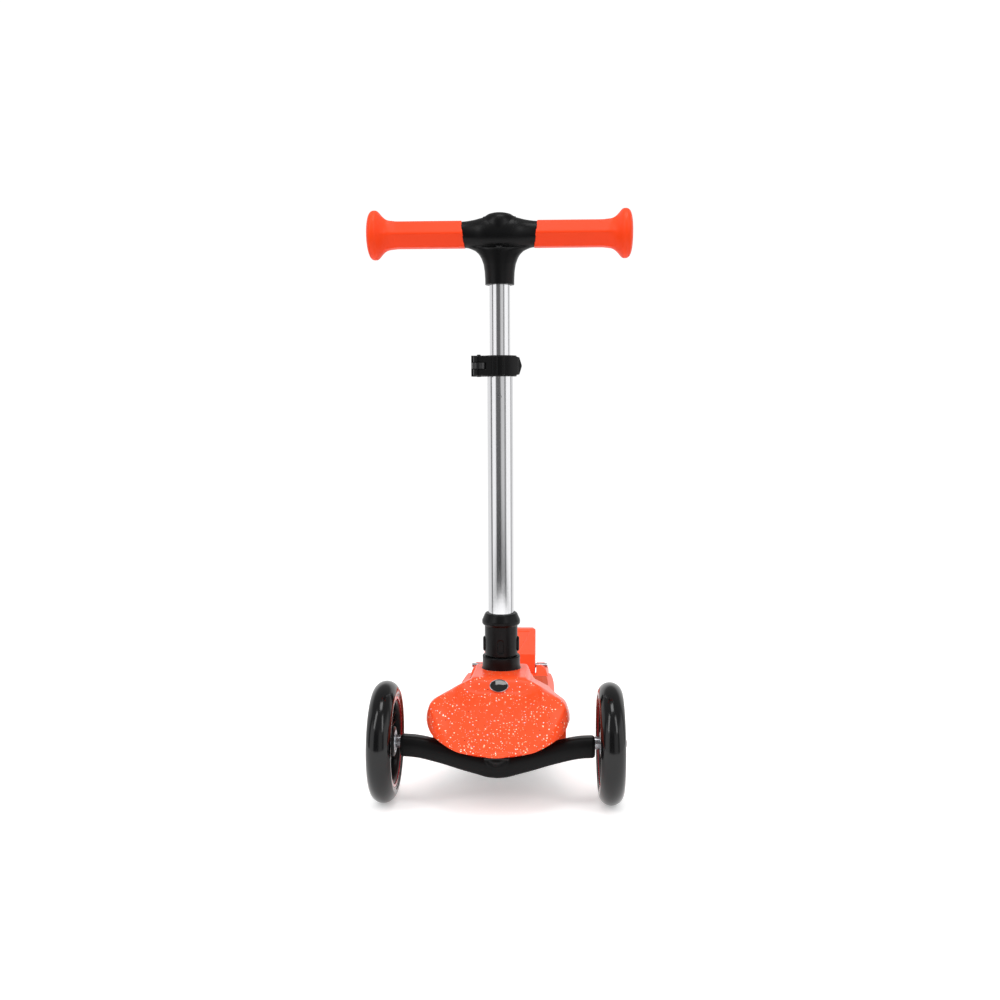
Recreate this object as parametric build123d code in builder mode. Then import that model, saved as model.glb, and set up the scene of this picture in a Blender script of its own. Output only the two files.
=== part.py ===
from build123d import *
import os
from math import cos, radians, sin

# A child's three-wheeled, lean-to-steer kick scooter. +Z is up, the scooter faces -Y, and X runs across it.
# The origin is on the floor under the middle of its bounding box. Sizes are in millimetres.

# --- driving dimensions -------------------------------------------------------------------------------
RUN = 0.05  # radial clearance of a running fit

TRACK = 224.6  # front wheels, centre to centre
FRONT_Y, FRONT_Z = -220.0, 60.0  # front wheel axis
REAR_Y, REAR_Z = 225.0, 40.0  # rear wheel axis
WHEEL_WIDTH = 24.0

STEM_LEAN = 6.0  # degrees, top towards the front
STEM_BASE = Vector(0, -122.0, 117.3)  # where the stem's axis meets the top of the hood
SPIGOT_R, SPIGOT_BORE_R = 12.05, 9.0
OUTER_TUBE_R, OUTER_TUBE_BORE_R = 13.75, 12.15
INNER_TUBE_R, INNER_TUBE_BORE_R = 11.0, 9.5
COLLAR_H, COLLAR_FOOT_R = 16.0, 21.8  # deck collar, along the stem
SOCKET_LOW, SOCKET_HIGH, FLANGE_HIGH = 16.6, 50.0, 63.0
SOCKET_R, FLANGE_R = 17.75, 20.6
TUBE_LOW, TUBE_HIGH = 20.0, 337.5
SLIT_LOW = 296.4  # centre of the relief hole at the foot of the slit
CLAMP_LOW, CLAMP_HIGH = 317.5, 339.5
BAR_LOW, BAR_HIGH = 130.0, 452.0  # inner tube
TEE_LOW, TEE_AXIS = 413.0, 465.3
BUTTON_H = 28.6  # height of the release buttons along the stem

GRIP_IN, GRIP_END = 38.0, 138.75
GRIP_R, GRIP_FLANGE_R = 13.85, 25.5
CORE_R, CORE_BORE_R = 10.5, 8.5

PIVOT_Y, PIVOT_Z = -226.0, 47.0  # steering pivot
PIVOT_TILT = 35.0  # degrees above level, front end high
LUG_IN, LUG_OUT = 18.0, 22.5
BOLT_R = 4.0

BEARING_R, BEARING_BORE_R = 11.0, BOLT_R + RUN
TYRE_SEAT_R, RING_IN_R = 44.5, 42.0
REAR_SEAT_R = 26.0

DECK_TOP, DECK_LOW, DECK_WALL = 66.0, 44.0, 3.0
DECK_FRONT_Y, DECK_BACK_Y = -178.0, 164.0
HOOD_NOSE_Y, HOOD_BACK_Y, HOOD_WALL = -278.0, -55.0, 3.0

ARM_IN, ARM_TOP = 36.5, 76.5
FENDER_HALF, FENDER_WALL = 35.0, 3.0
BRAKE_Y, BRAKE_Z = 180.0, 74.0  # mudguard hinge
BRAKE_PAD_R = 44.6  # inner face of the wear plate, from the rear axle

# --- planes and helpers -------------------------------------------------------------------------------
STEM_AXIS = Vector(0, -sin(radians(STEM_LEAN)), cos(radians(STEM_LEAN)))
PIVOT_AXIS = Vector(0, -cos(radians(PIVOT_TILT)), sin(radians(PIVOT_TILT)))
PIVOT = Vector(0, PIVOT_Y, PIVOT_Z)


def stem_plane(height):
    """The plane across the stem at a height along its axis: local x is across the scooter, local y is back."""
    return Plane(origin=STEM_BASE + STEM_AXIS * height, x_dir=(1, 0, 0), z_dir=STEM_AXIS)


def pivot_plane(along):
    """The plane across the steering pivot, a distance up its axis from the middle of the beam."""
    return Plane(origin=PIVOT + PIVOT_AXIS * along, x_dir=(1, 0, 0), z_dir=PIVOT_AXIS)


def pivot_point(along, above):
    """Side-view point (y, z), along the pivot's axis and square to it."""
    tilt = radians(PIVOT_TILT)
    return (
        PIVOT_Y - along * cos(tilt) + above * sin(tilt),
        PIVOT_Z + along * sin(tilt) + above * cos(tilt),
    )


def cross_plane(x, y, z):
    """The plane square to X through a point: local x is back, local y is up."""
    return Plane(origin=(x, y, z), x_dir=(0, 1, 0), z_dir=(1, 0, 0))


def front_plane(y):
    """The plane square to Y: local x is across, local y is up, and it extrudes towards the front."""
    return Plane(origin=(0, y, 0), x_dir=(1, 0, 0), z_dir=(0, -1, 0))


def ring(plane, outer, inner, height):
    """A plain ring on a plane."""
    with BuildPart(mode=Mode.PRIVATE) as made:
        with BuildSketch(plane):
            Circle(outer)
            if inner:
                Circle(inner, mode=Mode.SUBTRACT)
        extrude(amount=height)
    return made.part


def turned(plane, points):
    """A solid turned about the plane's normal from (radius, height) points."""
    side = Plane(origin=plane.origin, x_dir=plane.x_dir, z_dir=-plane.y_dir)
    with BuildPart(mode=Mode.PRIVATE) as made:
        with BuildSketch(side):
            with BuildLine():
                Polyline(*points, close=True)
            make_face()
        revolve(axis=Axis(plane.origin, plane.z_dir))
    return made.part


def save(part, name):
    part.label = name
    export_step(part, f"parts/{name}.step")


os.makedirs("parts", exist_ok=True)

# --- deck: shell, tray, mat ---------------------------------------------------------------------------
# Half of the outline that hood and deck share, from the nose to the tail (half-width, y).
SIDE_OUTLINE = [
    (0, HOOD_NOSE_Y),
    (20, -276),
    (38, -270),
    (57, -252),
    (69, -229),
    (72.5, -206),
    (70, -180),
    (62, -145),
    (57, -105),
    (56, -60),
    (59, 10),
    (60, 80),
    (57.5, 150),
    (55, 180),
]


def outline_face(low_y, high_y, inset):
    """The shared outline between two stations, drawn in by about the inset all round."""
    wide_x, wide_y = 72.5, -200.0
    across = 1 - inset / wide_x
    along = 1 - inset / (wide_y - HOOD_NOSE_Y)
    points = [(x * across, wide_y + (y - wide_y) * (along if y < wide_y else 1)) for x, y in SIDE_OUTLINE]
    with BuildSketch(mode=Mode.PRIVATE) as face:
        with BuildLine():
            edge = Spline(*points)
            Polyline(edge @ 1, (0, points[-1][1]), edge @ 0)
        make_face()
        mirror(about=Plane.YZ)
        with Locations((0, (low_y + high_y) / 2)):
            Rectangle(200, high_y - low_y, mode=Mode.INTERSECT)
    return face.sketch


DECK_BOSSES = [(x, y) for y in (-30.0, 60.0, 145.0) for x in (-38.0, 38.0)]
TRAY_T = 3.0
SCREW_R, SCREW_HEAD_R = 2.0, 3.8

with BuildPart() as rear_arm:
    with BuildSketch(Plane.YZ.offset(ARM_IN)):
        with BuildLine():
            Polyline(
                (DECK_BACK_Y - 24, DECK_LOW),
                (DECK_BACK_Y - 24, DECK_TOP),
                (DECK_BACK_Y + 2, ARM_TOP),
                (212, ARM_TOP - 3),
                (246, 58),
                (249, 36),
                (238, 27),
                (214, 27),
                (190, 40),
                (DECK_BACK_Y + 4, DECK_LOW),
                close=True,
            )
        make_face()
        fillet(vertices().filter_by_position(Axis.Y, 180, 240), 8)
    extrude(amount=17.5)
    # the outer shoulder falls away in facets
    with BuildSketch(front_plane(320)):
        with BuildLine():
            Polyline(
                (ARM_IN, 0),
                (ARM_IN, ARM_TOP),
                (43, ARM_TOP),
                (50, 72),
                (54, 60),
                (54, 0),
                close=True,
            )
        make_face()
    extrude(amount=300, mode=Mode.INTERSECT)

with BuildPart() as deck_shell:
    with BuildSketch(Plane.XY.offset(DECK_LOW)):
        add(outline_face(DECK_FRONT_Y, DECK_BACK_Y, 0))
    extrude(amount=DECK_TOP - DECK_LOW)
    with BuildSketch(Plane.XY.offset(DECK_LOW)):
        add(outline_face(DECK_FRONT_Y + DECK_WALL, DECK_BACK_Y - DECK_WALL, DECK_WALL))
    extrude(amount=DECK_TOP - DECK_LOW - DECK_WALL, mode=Mode.SUBTRACT)
    add(rear_arm.part)
    add(mirror(rear_arm.part, about=Plane.YZ, mode=Mode.PRIVATE))
    # the arms stop at the tray, so the hollow is cut again where they overlap it
    with BuildSketch(Plane.XY.offset(DECK_LOW)):
        add(outline_face(DECK_BACK_Y - 30, DECK_BACK_Y - DECK_WALL, DECK_WALL))
    extrude(amount=DECK_TOP - DECK_LOW - DECK_WALL, mode=Mode.SUBTRACT)
    # screw bosses
    with BuildSketch(Plane.XY.offset(DECK_LOW + TRAY_T)):
        with Locations(*DECK_BOSSES):
            Circle(5)
            Circle(SCREW_R, mode=Mode.SUBTRACT)
    extrude(amount=DECK_TOP - DECK_LOW - TRAY_T - 1)
    # bosses that carry the rear axle
    for side in (-1, 1):
        with BuildSketch(cross_plane(side * 15, REAR_Y, REAR_Z)):
            Circle(12)
        extrude(amount=side * (ARM_IN - 14))
    with BuildSketch(cross_plane(-60, REAR_Y, REAR_Z)):
        Circle(BOLT_R)
    extrude(amount=120, mode=Mode.SUBTRACT)
    for side in (-1, 1):
        with BuildSketch(cross_plane(side * 48.5, REAR_Y, REAR_Z)):
            Circle(8.5)
        extrude(amount=side * 20, mode=Mode.SUBTRACT)
    # mudguard hinge holes
    with BuildSketch(cross_plane(-60, BRAKE_Y, BRAKE_Z)):
        Circle(3)
    extrude(amount=120, mode=Mode.SUBTRACT)
save(deck_shell.part, "deck_shell")

with BuildPart() as deck_tray:
    with BuildSketch(Plane.XY.offset(DECK_LOW)):
        add(outline_face(DECK_FRONT_Y + DECK_WALL + 0.3, DECK_BACK_Y - DECK_WALL - 0.3, DECK_WALL + 0.3))
        with Locations(*DECK_BOSSES):
            Circle(SCREW_R + 0.1, mode=Mode.SUBTRACT)
    extrude(amount=TRAY_T)
    with BuildSketch(Plane.XY.offset(DECK_LOW + TRAY_T)):
        for x in (-16, 16):
            with Locations((x, -20)):
                Rectangle(2.5, 250)
        for y in (-120, -60, 0, 60):
            with Locations((0, y)):
                Rectangle(60, 2.5)
    extrude(amount=10)
save(deck_tray.part, "deck_tray")

with BuildPart() as deck_screws:
    with BuildSketch(Plane.XY.offset(DECK_LOW - 1.8)):
        with Locations(*DECK_BOSSES):
            Circle(SCREW_HEAD_R)
    extrude(amount=1.8)
    with BuildSketch(Plane.XY.offset(DECK_LOW)):
        with Locations(*DECK_BOSSES):
            Circle(SCREW_R)
    extrude(amount=14)
    with BuildSketch(Plane.XY.offset(DECK_LOW - 1.8)):
        with Locations(*DECK_BOSSES):
            RegularPolygon(1.6, 6)
    extrude(amount=1.2, mode=Mode.SUBTRACT)
save(deck_screws.part, "deck_screws")

MAT_T = 2.0
with BuildPart() as grip_mat:
    with BuildSketch(Plane.XY.offset(DECK_TOP)):
        add(outline_face(HOOD_BACK_Y + 8, DECK_BACK_Y - 28, 8))
        fillet(vertices(), 6)
    extrude(amount=MAT_T)
save(grip_mat.part, "grip_mat")

# --- hood ---------------------------------------------------------------------------------------------
# Side view of the hood's top, from the nose back (y, z); the stem collar stands on its highest flat.
HOOD_RIM_Z, HOOD_NOTCH_Z = 58.0, 80.0
PEDESTAL_BACK = STEM_BASE + stem_plane(0).y_dir * 22.5
# steep face that the plaque sits on, in side view (y, z)
FACE_LOW, FACE_HIGH = (-189.5, 102.0), (-178.5, 116.5)
PLAQUE_HALF_X, PLAQUE_HALF_Y = 10.0, 7.6


def hood_solid(inset):
    """The hood's outer form, or its hollow when drawn in: plan, side and front views cut from one block."""
    with BuildPart(mode=Mode.PRIVATE) as form:
        with BuildSketch(Plane.XY):
            add(outline_face(HOOD_NOSE_Y - 1, HOOD_BACK_Y - inset, inset))
        extrude(amount=150)
        with BuildSketch(Plane.YZ.offset(-100)):
            with BuildLine():
                crown = Spline(
                    (HOOD_NOSE_Y - 2, HOOD_RIM_Z + 1 - inset),
                    (-262, 70 - inset),
                    (-240, 81.5 - inset),
                    (-205, 95 - inset),
                    (FACE_LOW[0], FACE_LOW[1] - inset),
                )
                Polyline(
                    crown @ 1,
                    (FACE_HIGH[0], FACE_HIGH[1] - inset),
                    (-144, 117.8 - inset),
                    (PEDESTAL_BACK.Y, PEDESTAL_BACK.Z - inset),
                    (-72, 84 - inset),
                    (HOOD_BACK_Y, 72 - inset),
                    (HOOD_BACK_Y, 20),
                    (HOOD_NOSE_Y - 2, 20),
                    crown @ 0,
                )
            make_face()
        extrude(amount=200, mode=Mode.INTERSECT)
        with BuildSketch(front_plane(0)):
            with BuildLine():
                Polyline(
                    (0, 0),
                    (0, 150 - inset),
                    (27 - inset, 150 - inset),
                    (31 - inset, 117 - inset),
                    (45 - inset, 109 - inset),
                    (60 - inset, 98.5 - inset),
                    (70 - inset, 91 - inset),
                    (76 - inset, 78),
                    (76 - inset, 0),
                    close=True,
                )
            make_face()
            mirror(about=Plane.YZ)
        extrude(amount=300, mode=Mode.INTERSECT)
    return form.part


with BuildPart() as hood_cover:
    add(hood_solid(0))
    add(hood_solid(HOOD_WALL), mode=Mode.SUBTRACT)
    # rim line: low round the nose, notched up over the axle beam, and level where it meets the deck
    with BuildSketch(Plane.YZ.offset(-100)):
        with BuildLine():
            Polyline(
                (-300, 10),
                (-300, HOOD_RIM_Z),
                (-272, HOOD_RIM_Z + 1.5),
                (-260, 65),
                (-241, 70),
                (-232, 75),
                (-226, HOOD_NOTCH_Z),
                (DECK_FRONT_Y - 2, HOOD_NOTCH_Z),
                (DECK_FRONT_Y - 2, DECK_TOP),
                (0, DECK_TOP),
                (0, 10),
                close=True,
            )
        make_face()
    extrude(amount=200, mode=Mode.SUBTRACT)
    # hole for the stem post, and the seat that the collar stands in
    with BuildSketch(stem_plane(-20)):
        Circle(SPIGOT_R + 0.1)
    extrude(amount=40, mode=Mode.SUBTRACT)
    with BuildSketch(stem_plane(0)):
        Circle(COLLAR_FOOT_R + 0.1)
    extrude(amount=20, mode=Mode.SUBTRACT)
save(hood_cover.part, "hood_cover")

with BuildPart() as nose_plaque:
    rise = Vector(0, FACE_HIGH[0] - FACE_LOW[0], FACE_HIGH[1] - FACE_LOW[1])
    face_middle = Vector(0, FACE_LOW[0], FACE_LOW[1]) + rise * 0.5
    with BuildSketch(Plane(origin=face_middle, x_dir=(1, 0, 0), z_dir=(0, -rise.Z, rise.Y))):
        Ellipse(PLAQUE_HALF_X, PLAQUE_HALF_Y)
    extrude(amount=2.4)
    chamfer(nose_plaque.edges().group_by(SortBy.DISTANCE)[-1].filter_by(GeomType.ELLIPSE), 0.5)
    # its back takes the hood's curve
    add(hood_cover.part, mode=Mode.SUBTRACT)
save(nose_plaque.part, "nose_plaque")

# --- steering casting under the hood, its bolt and its rubber bumpers --------------------------------
CASTING_HALF, WING_HALF, WING_LOW = 12.0, 38.0, 80.0
BUMPER_X, BUMPER_Y, BUMPER_R, BUMPER_LONG = 27.0, -208.0, 7.0, 16.0

with BuildPart() as steer_casting:
    with BuildSketch(Plane.YZ.offset(-CASTING_HALF)):
        with BuildLine():
            Polyline(
                pivot_point(LUG_IN, -11),
                pivot_point(LUG_OUT, -11),
                pivot_point(LUG_OUT, 14),
                pivot_point(LUG_IN, 22),
                (-150, 102),
                (-100, 102),
                (-76, 80),
                (-72, DECK_TOP),
                (DECK_FRONT_Y - 2, DECK_TOP),
                (-200, 50),
                pivot_point(-LUG_OUT, -2),
                pivot_point(-LUG_OUT, -11),
                pivot_point(-LUG_IN, -11),
                pivot_point(-LUG_IN, 17),
                pivot_point(LUG_IN, 17),
                close=True,
            )
        make_face()
    extrude(amount=2 * CASTING_HALF)
    # column round the foot of the stem post
    with BuildSketch(stem_plane(-46)):
        Circle(19)
    extrude(amount=32)
    with BuildSketch(stem_plane(-50)):
        Circle(SPIGOT_R)
    extrude(amount=60, mode=Mode.SUBTRACT)
    # cross wing that the rubber bumpers hang from
    with BuildSketch(Plane.XY.offset(WING_LOW)):
        with Locations((0, BUMPER_Y + 6)):
            Rectangle(2 * WING_HALF, 28)
    extrude(amount=5)
    with BuildSketch(pivot_plane(-40)):
        Circle(BOLT_R)
    extrude(amount=80, mode=Mode.SUBTRACT)
save(steer_casting.part, "steer_casting")

with BuildPart() as steer_bolt:
    add(turned(pivot_plane(0), [(0, -30), (BOLT_R - 0.02, -30), (BOLT_R - 0.02, LUG_OUT), (6.5, LUG_OUT),
                                (6.5, LUG_OUT + 5), (5.5, LUG_OUT + 6), (0, LUG_OUT + 6)]))
    with BuildSketch(pivot_plane(LUG_OUT + 3)):
        RegularPolygon(3, 6)
    extrude(amount=4, mode=Mode.SUBTRACT)
save(steer_bolt.part, "steer_bolt")

with BuildPart() as steer_nut:
    with BuildSketch(pivot_plane(-LUG_OUT)):
        RegularPolygon(6.6, 6)
        Circle(BOLT_R, mode=Mode.SUBTRACT)
    extrude(amount=-6)
save(steer_nut.part, "steer_nut")

for side, name in ((-1, "left"), (1, "right")):
    with BuildPart() as bumper:
        with BuildSketch(Plane.XY.offset(WING_LOW)):
            with Locations((side * BUMPER_X, BUMPER_Y)):
                Circle(BUMPER_R)
        extrude(amount=-BUMPER_LONG)
        chamfer(bumper.edges().group_by(Axis.Z)[0], 1.5)
    save(bumper.part, f"steer_bumper_{name}")

# --- stem foot: collar and post -----------------------------------------------------------------------
with BuildPart() as stem_collar:
    add(turned(stem_plane(0), [(SPIGOT_R + 0.05, 0), (COLLAR_FOOT_R, 0), (COLLAR_FOOT_R, 1.5), (20.5, 3.5),
                               (20.5, COLLAR_H - 0.8),
                               (19.7, COLLAR_H), (SPIGOT_R + 0.05, COLLAR_H)]))
save(stem_collar.part, "stem_collar")

SPIGOT_LOW, SPIGOT_HIGH = -49.5, 58.0
with BuildPart() as stem_spigot:
    add(turned(stem_plane(0), [(SPIGOT_BORE_R, SPIGOT_LOW), (SPIGOT_R, SPIGOT_LOW), (SPIGOT_R, SPIGOT_HIGH - 2),
                               (SPIGOT_R - 1.2, SPIGOT_HIGH), (SPIGOT_BORE_R, SPIGOT_HIGH)]))
    # cross hole for the release catch
    catch = stem_plane(BUTTON_H).origin
    with BuildSketch(cross_plane(-30, catch.Y, catch.Z)):
        Circle(4)
    extrude(amount=60, mode=Mode.SUBTRACT)
save(stem_spigot.part, "stem_spigot")

# --- stem: socket, lower tube, clamp ------------------------------------------------------------------
BUTTON_LONG, BUTTON_WIDE = 16.4, 9.0
BUTTON_IN, BUTTON_OUT = 16.6, 19.6
BUTTON_PIN_R = 2.4


def button_plane(x):
    """The plane square to X at the buttons' height: local x is back, local y is up the stem."""
    return Plane(origin=stem_plane(BUTTON_H).origin + Vector(x, 0, 0), x_dir=stem_plane(0).y_dir, z_dir=(1, 0, 0))


with BuildPart() as socket_housing:
    add(turned(stem_plane(0), [
        (SPIGOT_R + 0.3, SOCKET_LOW), (SOCKET_R - 0.6, SOCKET_LOW), (SOCKET_R, SOCKET_LOW + 0.6),
        (SOCKET_R, SOCKET_HIGH), (FLANGE_R - 0.8, SOCKET_HIGH + 0.6), (FLANGE_R, SOCKET_HIGH + 2),
        (FLANGE_R, SOCKET_HIGH + 5), (FLANGE_R - 3, FLANGE_HIGH - 1), (FLANGE_R - 4, FLANGE_HIGH),
        (OUTER_TUBE_R, FLANGE_HIGH), (OUTER_TUBE_R, TUBE_LOW), (SPIGOT_R + 0.3, TUBE_LOW)]))
    # windows for the two buttons, right through the wall
    with BuildSketch(button_plane(-40)):
        SlotOverall(BUTTON_LONG + 0.6, BUTTON_WIDE + 0.6, rotation=90)
    extrude(amount=80, mode=Mode.SUBTRACT)
    # shallow oval recesses front and back
    for side in (-1, 1):
        face = stem_plane(BUTTON_H)
        with BuildSketch(Plane(origin=face.origin + face.y_dir * side * 16.4, x_dir=(1, 0, 0),
                               z_dir=face.y_dir * side)):
            SlotOverall(15, 7, rotation=90)
        extrude(amount=6, mode=Mode.SUBTRACT)

for side, name in ((-1, "left"), (1, "right")):
    with BuildPart() as button:
        with BuildSketch(button_plane(side * BUTTON_IN)):
            SlotOverall(BUTTON_LONG, BUTTON_WIDE, rotation=90)
        extrude(amount=side * (BUTTON_OUT - BUTTON_IN))
        chamfer(button.edges().group_by(Axis.X)[-1 if side > 0 else 0], 1.1)
        with BuildSketch(button_plane(side * 12.6)):
            Circle(BUTTON_PIN_R)
        extrude(amount=side * (BUTTON_IN - 12.6))
    save(button.part, f"button_{name}")

with BuildPart() as button_spring:
    add(turned(stem_plane(0), [(OUTER_TUBE_R, BUTTON_H + 3.2), (OUTER_TUBE_R + 0.5, BUTTON_H + 3.2),
                               (OUTER_TUBE_R + 0.5, BUTTON_H + 6.2), (OUTER_TUBE_R, BUTTON_H + 6.2)]))
    with BuildSketch(stem_plane(0)):
        with Locations((0, -20)):
            Rectangle(60, 24)
    extrude(amount=60, mode=Mode.SUBTRACT)
save(button_spring.part, "button_spring")

# the spring lies in a pocket of the socket's wall
with socket_housing:
    add(button_spring.part, mode=Mode.SUBTRACT)
save(socket_housing.part, "socket_housing")

with BuildPart() as outer_tube:
    with BuildSketch(stem_plane(TUBE_LOW)):
        Circle(OUTER_TUBE_R)
        Circle(OUTER_TUBE_BORE_R, mode=Mode.SUBTRACT)
    extrude(amount=TUBE_HIGH - TUBE_LOW)
    slit = stem_plane(SLIT_LOW)
    front_of_tube = Plane(origin=slit.origin, x_dir=(1, 0, 0), z_dir=-slit.y_dir)
    with BuildSketch(front_of_tube):
        Circle(2)
        with Locations((0, 30)):
            Rectangle(1.6, 60)
    extrude(amount=20, mode=Mode.SUBTRACT)
    with BuildSketch(button_plane(-40)):
        Circle(BUTTON_PIN_R + 0.4)
    extrude(amount=80, mode=Mode.SUBTRACT)
save(outer_tube.part, "outer_tube")

LINER_LOW = 316.0
with BuildPart() as tube_liner:
    add(turned(stem_plane(0), [
        (INNER_TUBE_R + RUN, LINER_LOW), (OUTER_TUBE_BORE_R, LINER_LOW), (OUTER_TUBE_BORE_R, TUBE_HIGH),
        (OUTER_TUBE_R - 0.3, TUBE_HIGH), (OUTER_TUBE_R - 0.3, TUBE_HIGH + 1.5),
        (INNER_TUBE_R + RUN, TUBE_HIGH + 1.5)]))
    with BuildSketch(front_of_tube):
        with Locations((0, 30)):
            Rectangle(1.6, 60)
    extrude(amount=20, mode=Mode.SUBTRACT)
save(tube_liner.part, "tube_liner")

# clamp: split ring with two ears on the left, an eye bolt through them and a lever on the bolt's eye
CLAMP_MID = (CLAMP_LOW + CLAMP_HIGH) / 2
CLAMP_TALL = CLAMP_HIGH - CLAMP_LOW
EAR_X, EAR_OUT_X = -21.5, -27.0
LEVER_PIN_Y = -17.5
LEVER_PIN_R = 2.0
KNUCKLE_R = 6.0
EYE_TALL = 7.0
LEVER_IN_R, LEVER_OUT_R = 18.4, 21.8

with BuildPart() as clamp_collar:
    with BuildSketch(stem_plane(CLAMP_LOW)):
        Circle(17.6)
        with Locations((EAR_OUT_X + 8.75, 1.5)):
            Rectangle(24, 17)
        Circle(OUTER_TUBE_R, mode=Mode.SUBTRACT)
        with Locations((-20, 0)):
            Rectangle(20, 2.4, mode=Mode.SUBTRACT)
    extrude(amount=CLAMP_TALL)
    with BuildSketch(stem_plane(CLAMP_LOW)):
        with Locations((EAR_X, LEVER_PIN_Y)):
            Circle(KNUCKLE_R + 4.5)
    extrude(amount=CLAMP_TALL, mode=Mode.SUBTRACT)
    clamp_across = Plane(origin=stem_plane(CLAMP_MID).origin + Vector(EAR_X, 0, 0), x_dir=(1, 0, 0),
                         z_dir=stem_plane(0).y_dir)
    with BuildSketch(clamp_across):
        Circle(2.6)
    extrude(amount=40, both=True, mode=Mode.SUBTRACT)
save(clamp_collar.part, "clamp_collar")

EYE_R = 7.6
NUT_BACK, BOLT_BACK = 15.5, 16.2

with BuildPart() as clamp_bolt:
    with BuildSketch(stem_plane(CLAMP_MID - EYE_TALL / 2 + 0.4)):
        with Locations((EAR_X, LEVER_PIN_Y)):
            Circle(EYE_R)
    extrude(amount=EYE_TALL - 0.8)
    with BuildSketch(Plane(origin=clamp_across.origin + clamp_across.z_dir * LEVER_PIN_Y,
                           x_dir=(1, 0, 0), z_dir=clamp_across.z_dir)):
        Circle(2.5)
    extrude(amount=BOLT_BACK - LEVER_PIN_Y)
    with BuildSketch(stem_plane(CLAMP_LOW)):
        with Locations((EAR_X, LEVER_PIN_Y)):
            Circle(LEVER_PIN_R)
    extrude(amount=CLAMP_TALL, mode=Mode.SUBTRACT)
save(clamp_bolt.part, "clamp_bolt")

with BuildPart() as clamp_nut:
    with BuildSketch(Plane(origin=clamp_across.origin + clamp_across.z_dir * 10, x_dir=(1, 0, 0),
                           z_dir=clamp_across.z_dir)):
        RegularPolygon(5.6, 12)
        Circle(2.5, mode=Mode.SUBTRACT)
    extrude(amount=NUT_BACK - 10)
save(clamp_nut.part, "clamp_nut")

with BuildPart() as lever_pin:
    with BuildSketch(stem_plane(CLAMP_LOW - 0.6)):
        with Locations((EAR_X, LEVER_PIN_Y)):
            Circle(LEVER_PIN_R)
    extrude(amount=CLAMP_TALL + 1.2)
save(lever_pin.part, "lever_pin")

LEVER_LOW, LEVER_HIGH = CLAMP_LOW + 1, CLAMP_HIGH - 1
with BuildPart() as clamp_lever:
    with BuildSketch(stem_plane(LEVER_LOW)):
        with BuildLine():
            inner_arc = CenterArc((0, 0), LEVER_IN_R, 235, 105)
            outer_arc = CenterArc((0, 0), LEVER_OUT_R, 248, 90)
            Polyline(inner_arc @ 1, (21.2, -4.6), (23.4, -5.6), outer_arc @ 1)
            Polyline(outer_arc @ 0, (EAR_X, LEVER_PIN_Y - KNUCKLE_R), (EAR_X + 4.2, LEVER_PIN_Y + 4.2),
                     inner_arc @ 0)
        make_face()
        with Locations((EAR_X, LEVER_PIN_Y)):
            Circle(KNUCKLE_R)
        for angle in (262, 281):
            with Locations((LEVER_OUT_R * cos(radians(angle)), LEVER_OUT_R * sin(radians(angle)))):
                Circle(0.9)
        with Locations((EAR_X, LEVER_PIN_Y)):
            Circle(LEVER_PIN_R + RUN, mode=Mode.SUBTRACT)
    extrude(amount=LEVER_HIGH - LEVER_LOW)
    # room for the bolt's eye between the two knuckles
    with BuildSketch(stem_plane(CLAMP_MID - EYE_TALL / 2)):
        with Locations((EAR_X, LEVER_PIN_Y)):
            Circle(EYE_R + 0.8)
    extrude(amount=EYE_TALL, mode=Mode.SUBTRACT)
    # pointed finger tip, seen from the front
    with BuildSketch(Plane(origin=stem_plane(CLAMP_MID).origin, x_dir=(1, 0, 0), z_dir=-stem_plane(0).y_dir)):
        with BuildLine():
            Polyline((-40, -20), (-40, 20), (16, 20), (16, 10), (20.6, 9), (23.4, 0), (20.6, -9), (16, -10),
                     (16, -20), close=True)
        make_face()
    extrude(amount=40, mode=Mode.INTERSECT)
save(clamp_lever.part, "clamp_lever")

# --- handlebar ----------------------------------------------------------------------------------------
with BuildPart() as inner_tube:
    with BuildSketch(stem_plane(BAR_LOW)):
        Circle(INNER_TUBE_R)
        Circle(INNER_TUBE_BORE_R, mode=Mode.SUBTRACT)
    extrude(amount=BAR_HIGH - BAR_LOW)
save(inner_tube.part, "inner_tube")

with BuildPart() as tube_plug:
    plug_r = OUTER_TUBE_BORE_R - RUN
    add(turned(stem_plane(0), [
        (0, BAR_LOW - 4), (plug_r - 1, BAR_LOW - 4), (plug_r, BAR_LOW - 3), (plug_r, BAR_LOW + 20),
        (INNER_TUBE_R, BAR_LOW + 20), (INNER_TUBE_R, BAR_LOW), (0, BAR_LOW)]))
save(tube_plug.part, "tube_plug")

BAR_PLANE = stem_plane(TEE_AXIS)
ACROSS = Plane(origin=BAR_PLANE.origin, x_dir=BAR_PLANE.y_dir, z_dir=(1, 0, 0))
TEE_R, TEE_END_R, TEE_NECK_R = 18.6, 14.4, 15.8


def turned_across(points):
    """A solid turned about the handlebar's own axis from (x, radius) points."""
    with BuildPart(mode=Mode.PRIVATE) as made:
        with BuildSketch(Plane(origin=BAR_PLANE.origin, x_dir=(1, 0, 0), z_dir=-BAR_PLANE.y_dir)):
            with BuildLine():
                Polyline(*points, close=True)
            make_face()
        revolve(axis=Axis(BAR_PLANE.origin, (1, 0, 0)))
    return made.part


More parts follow.
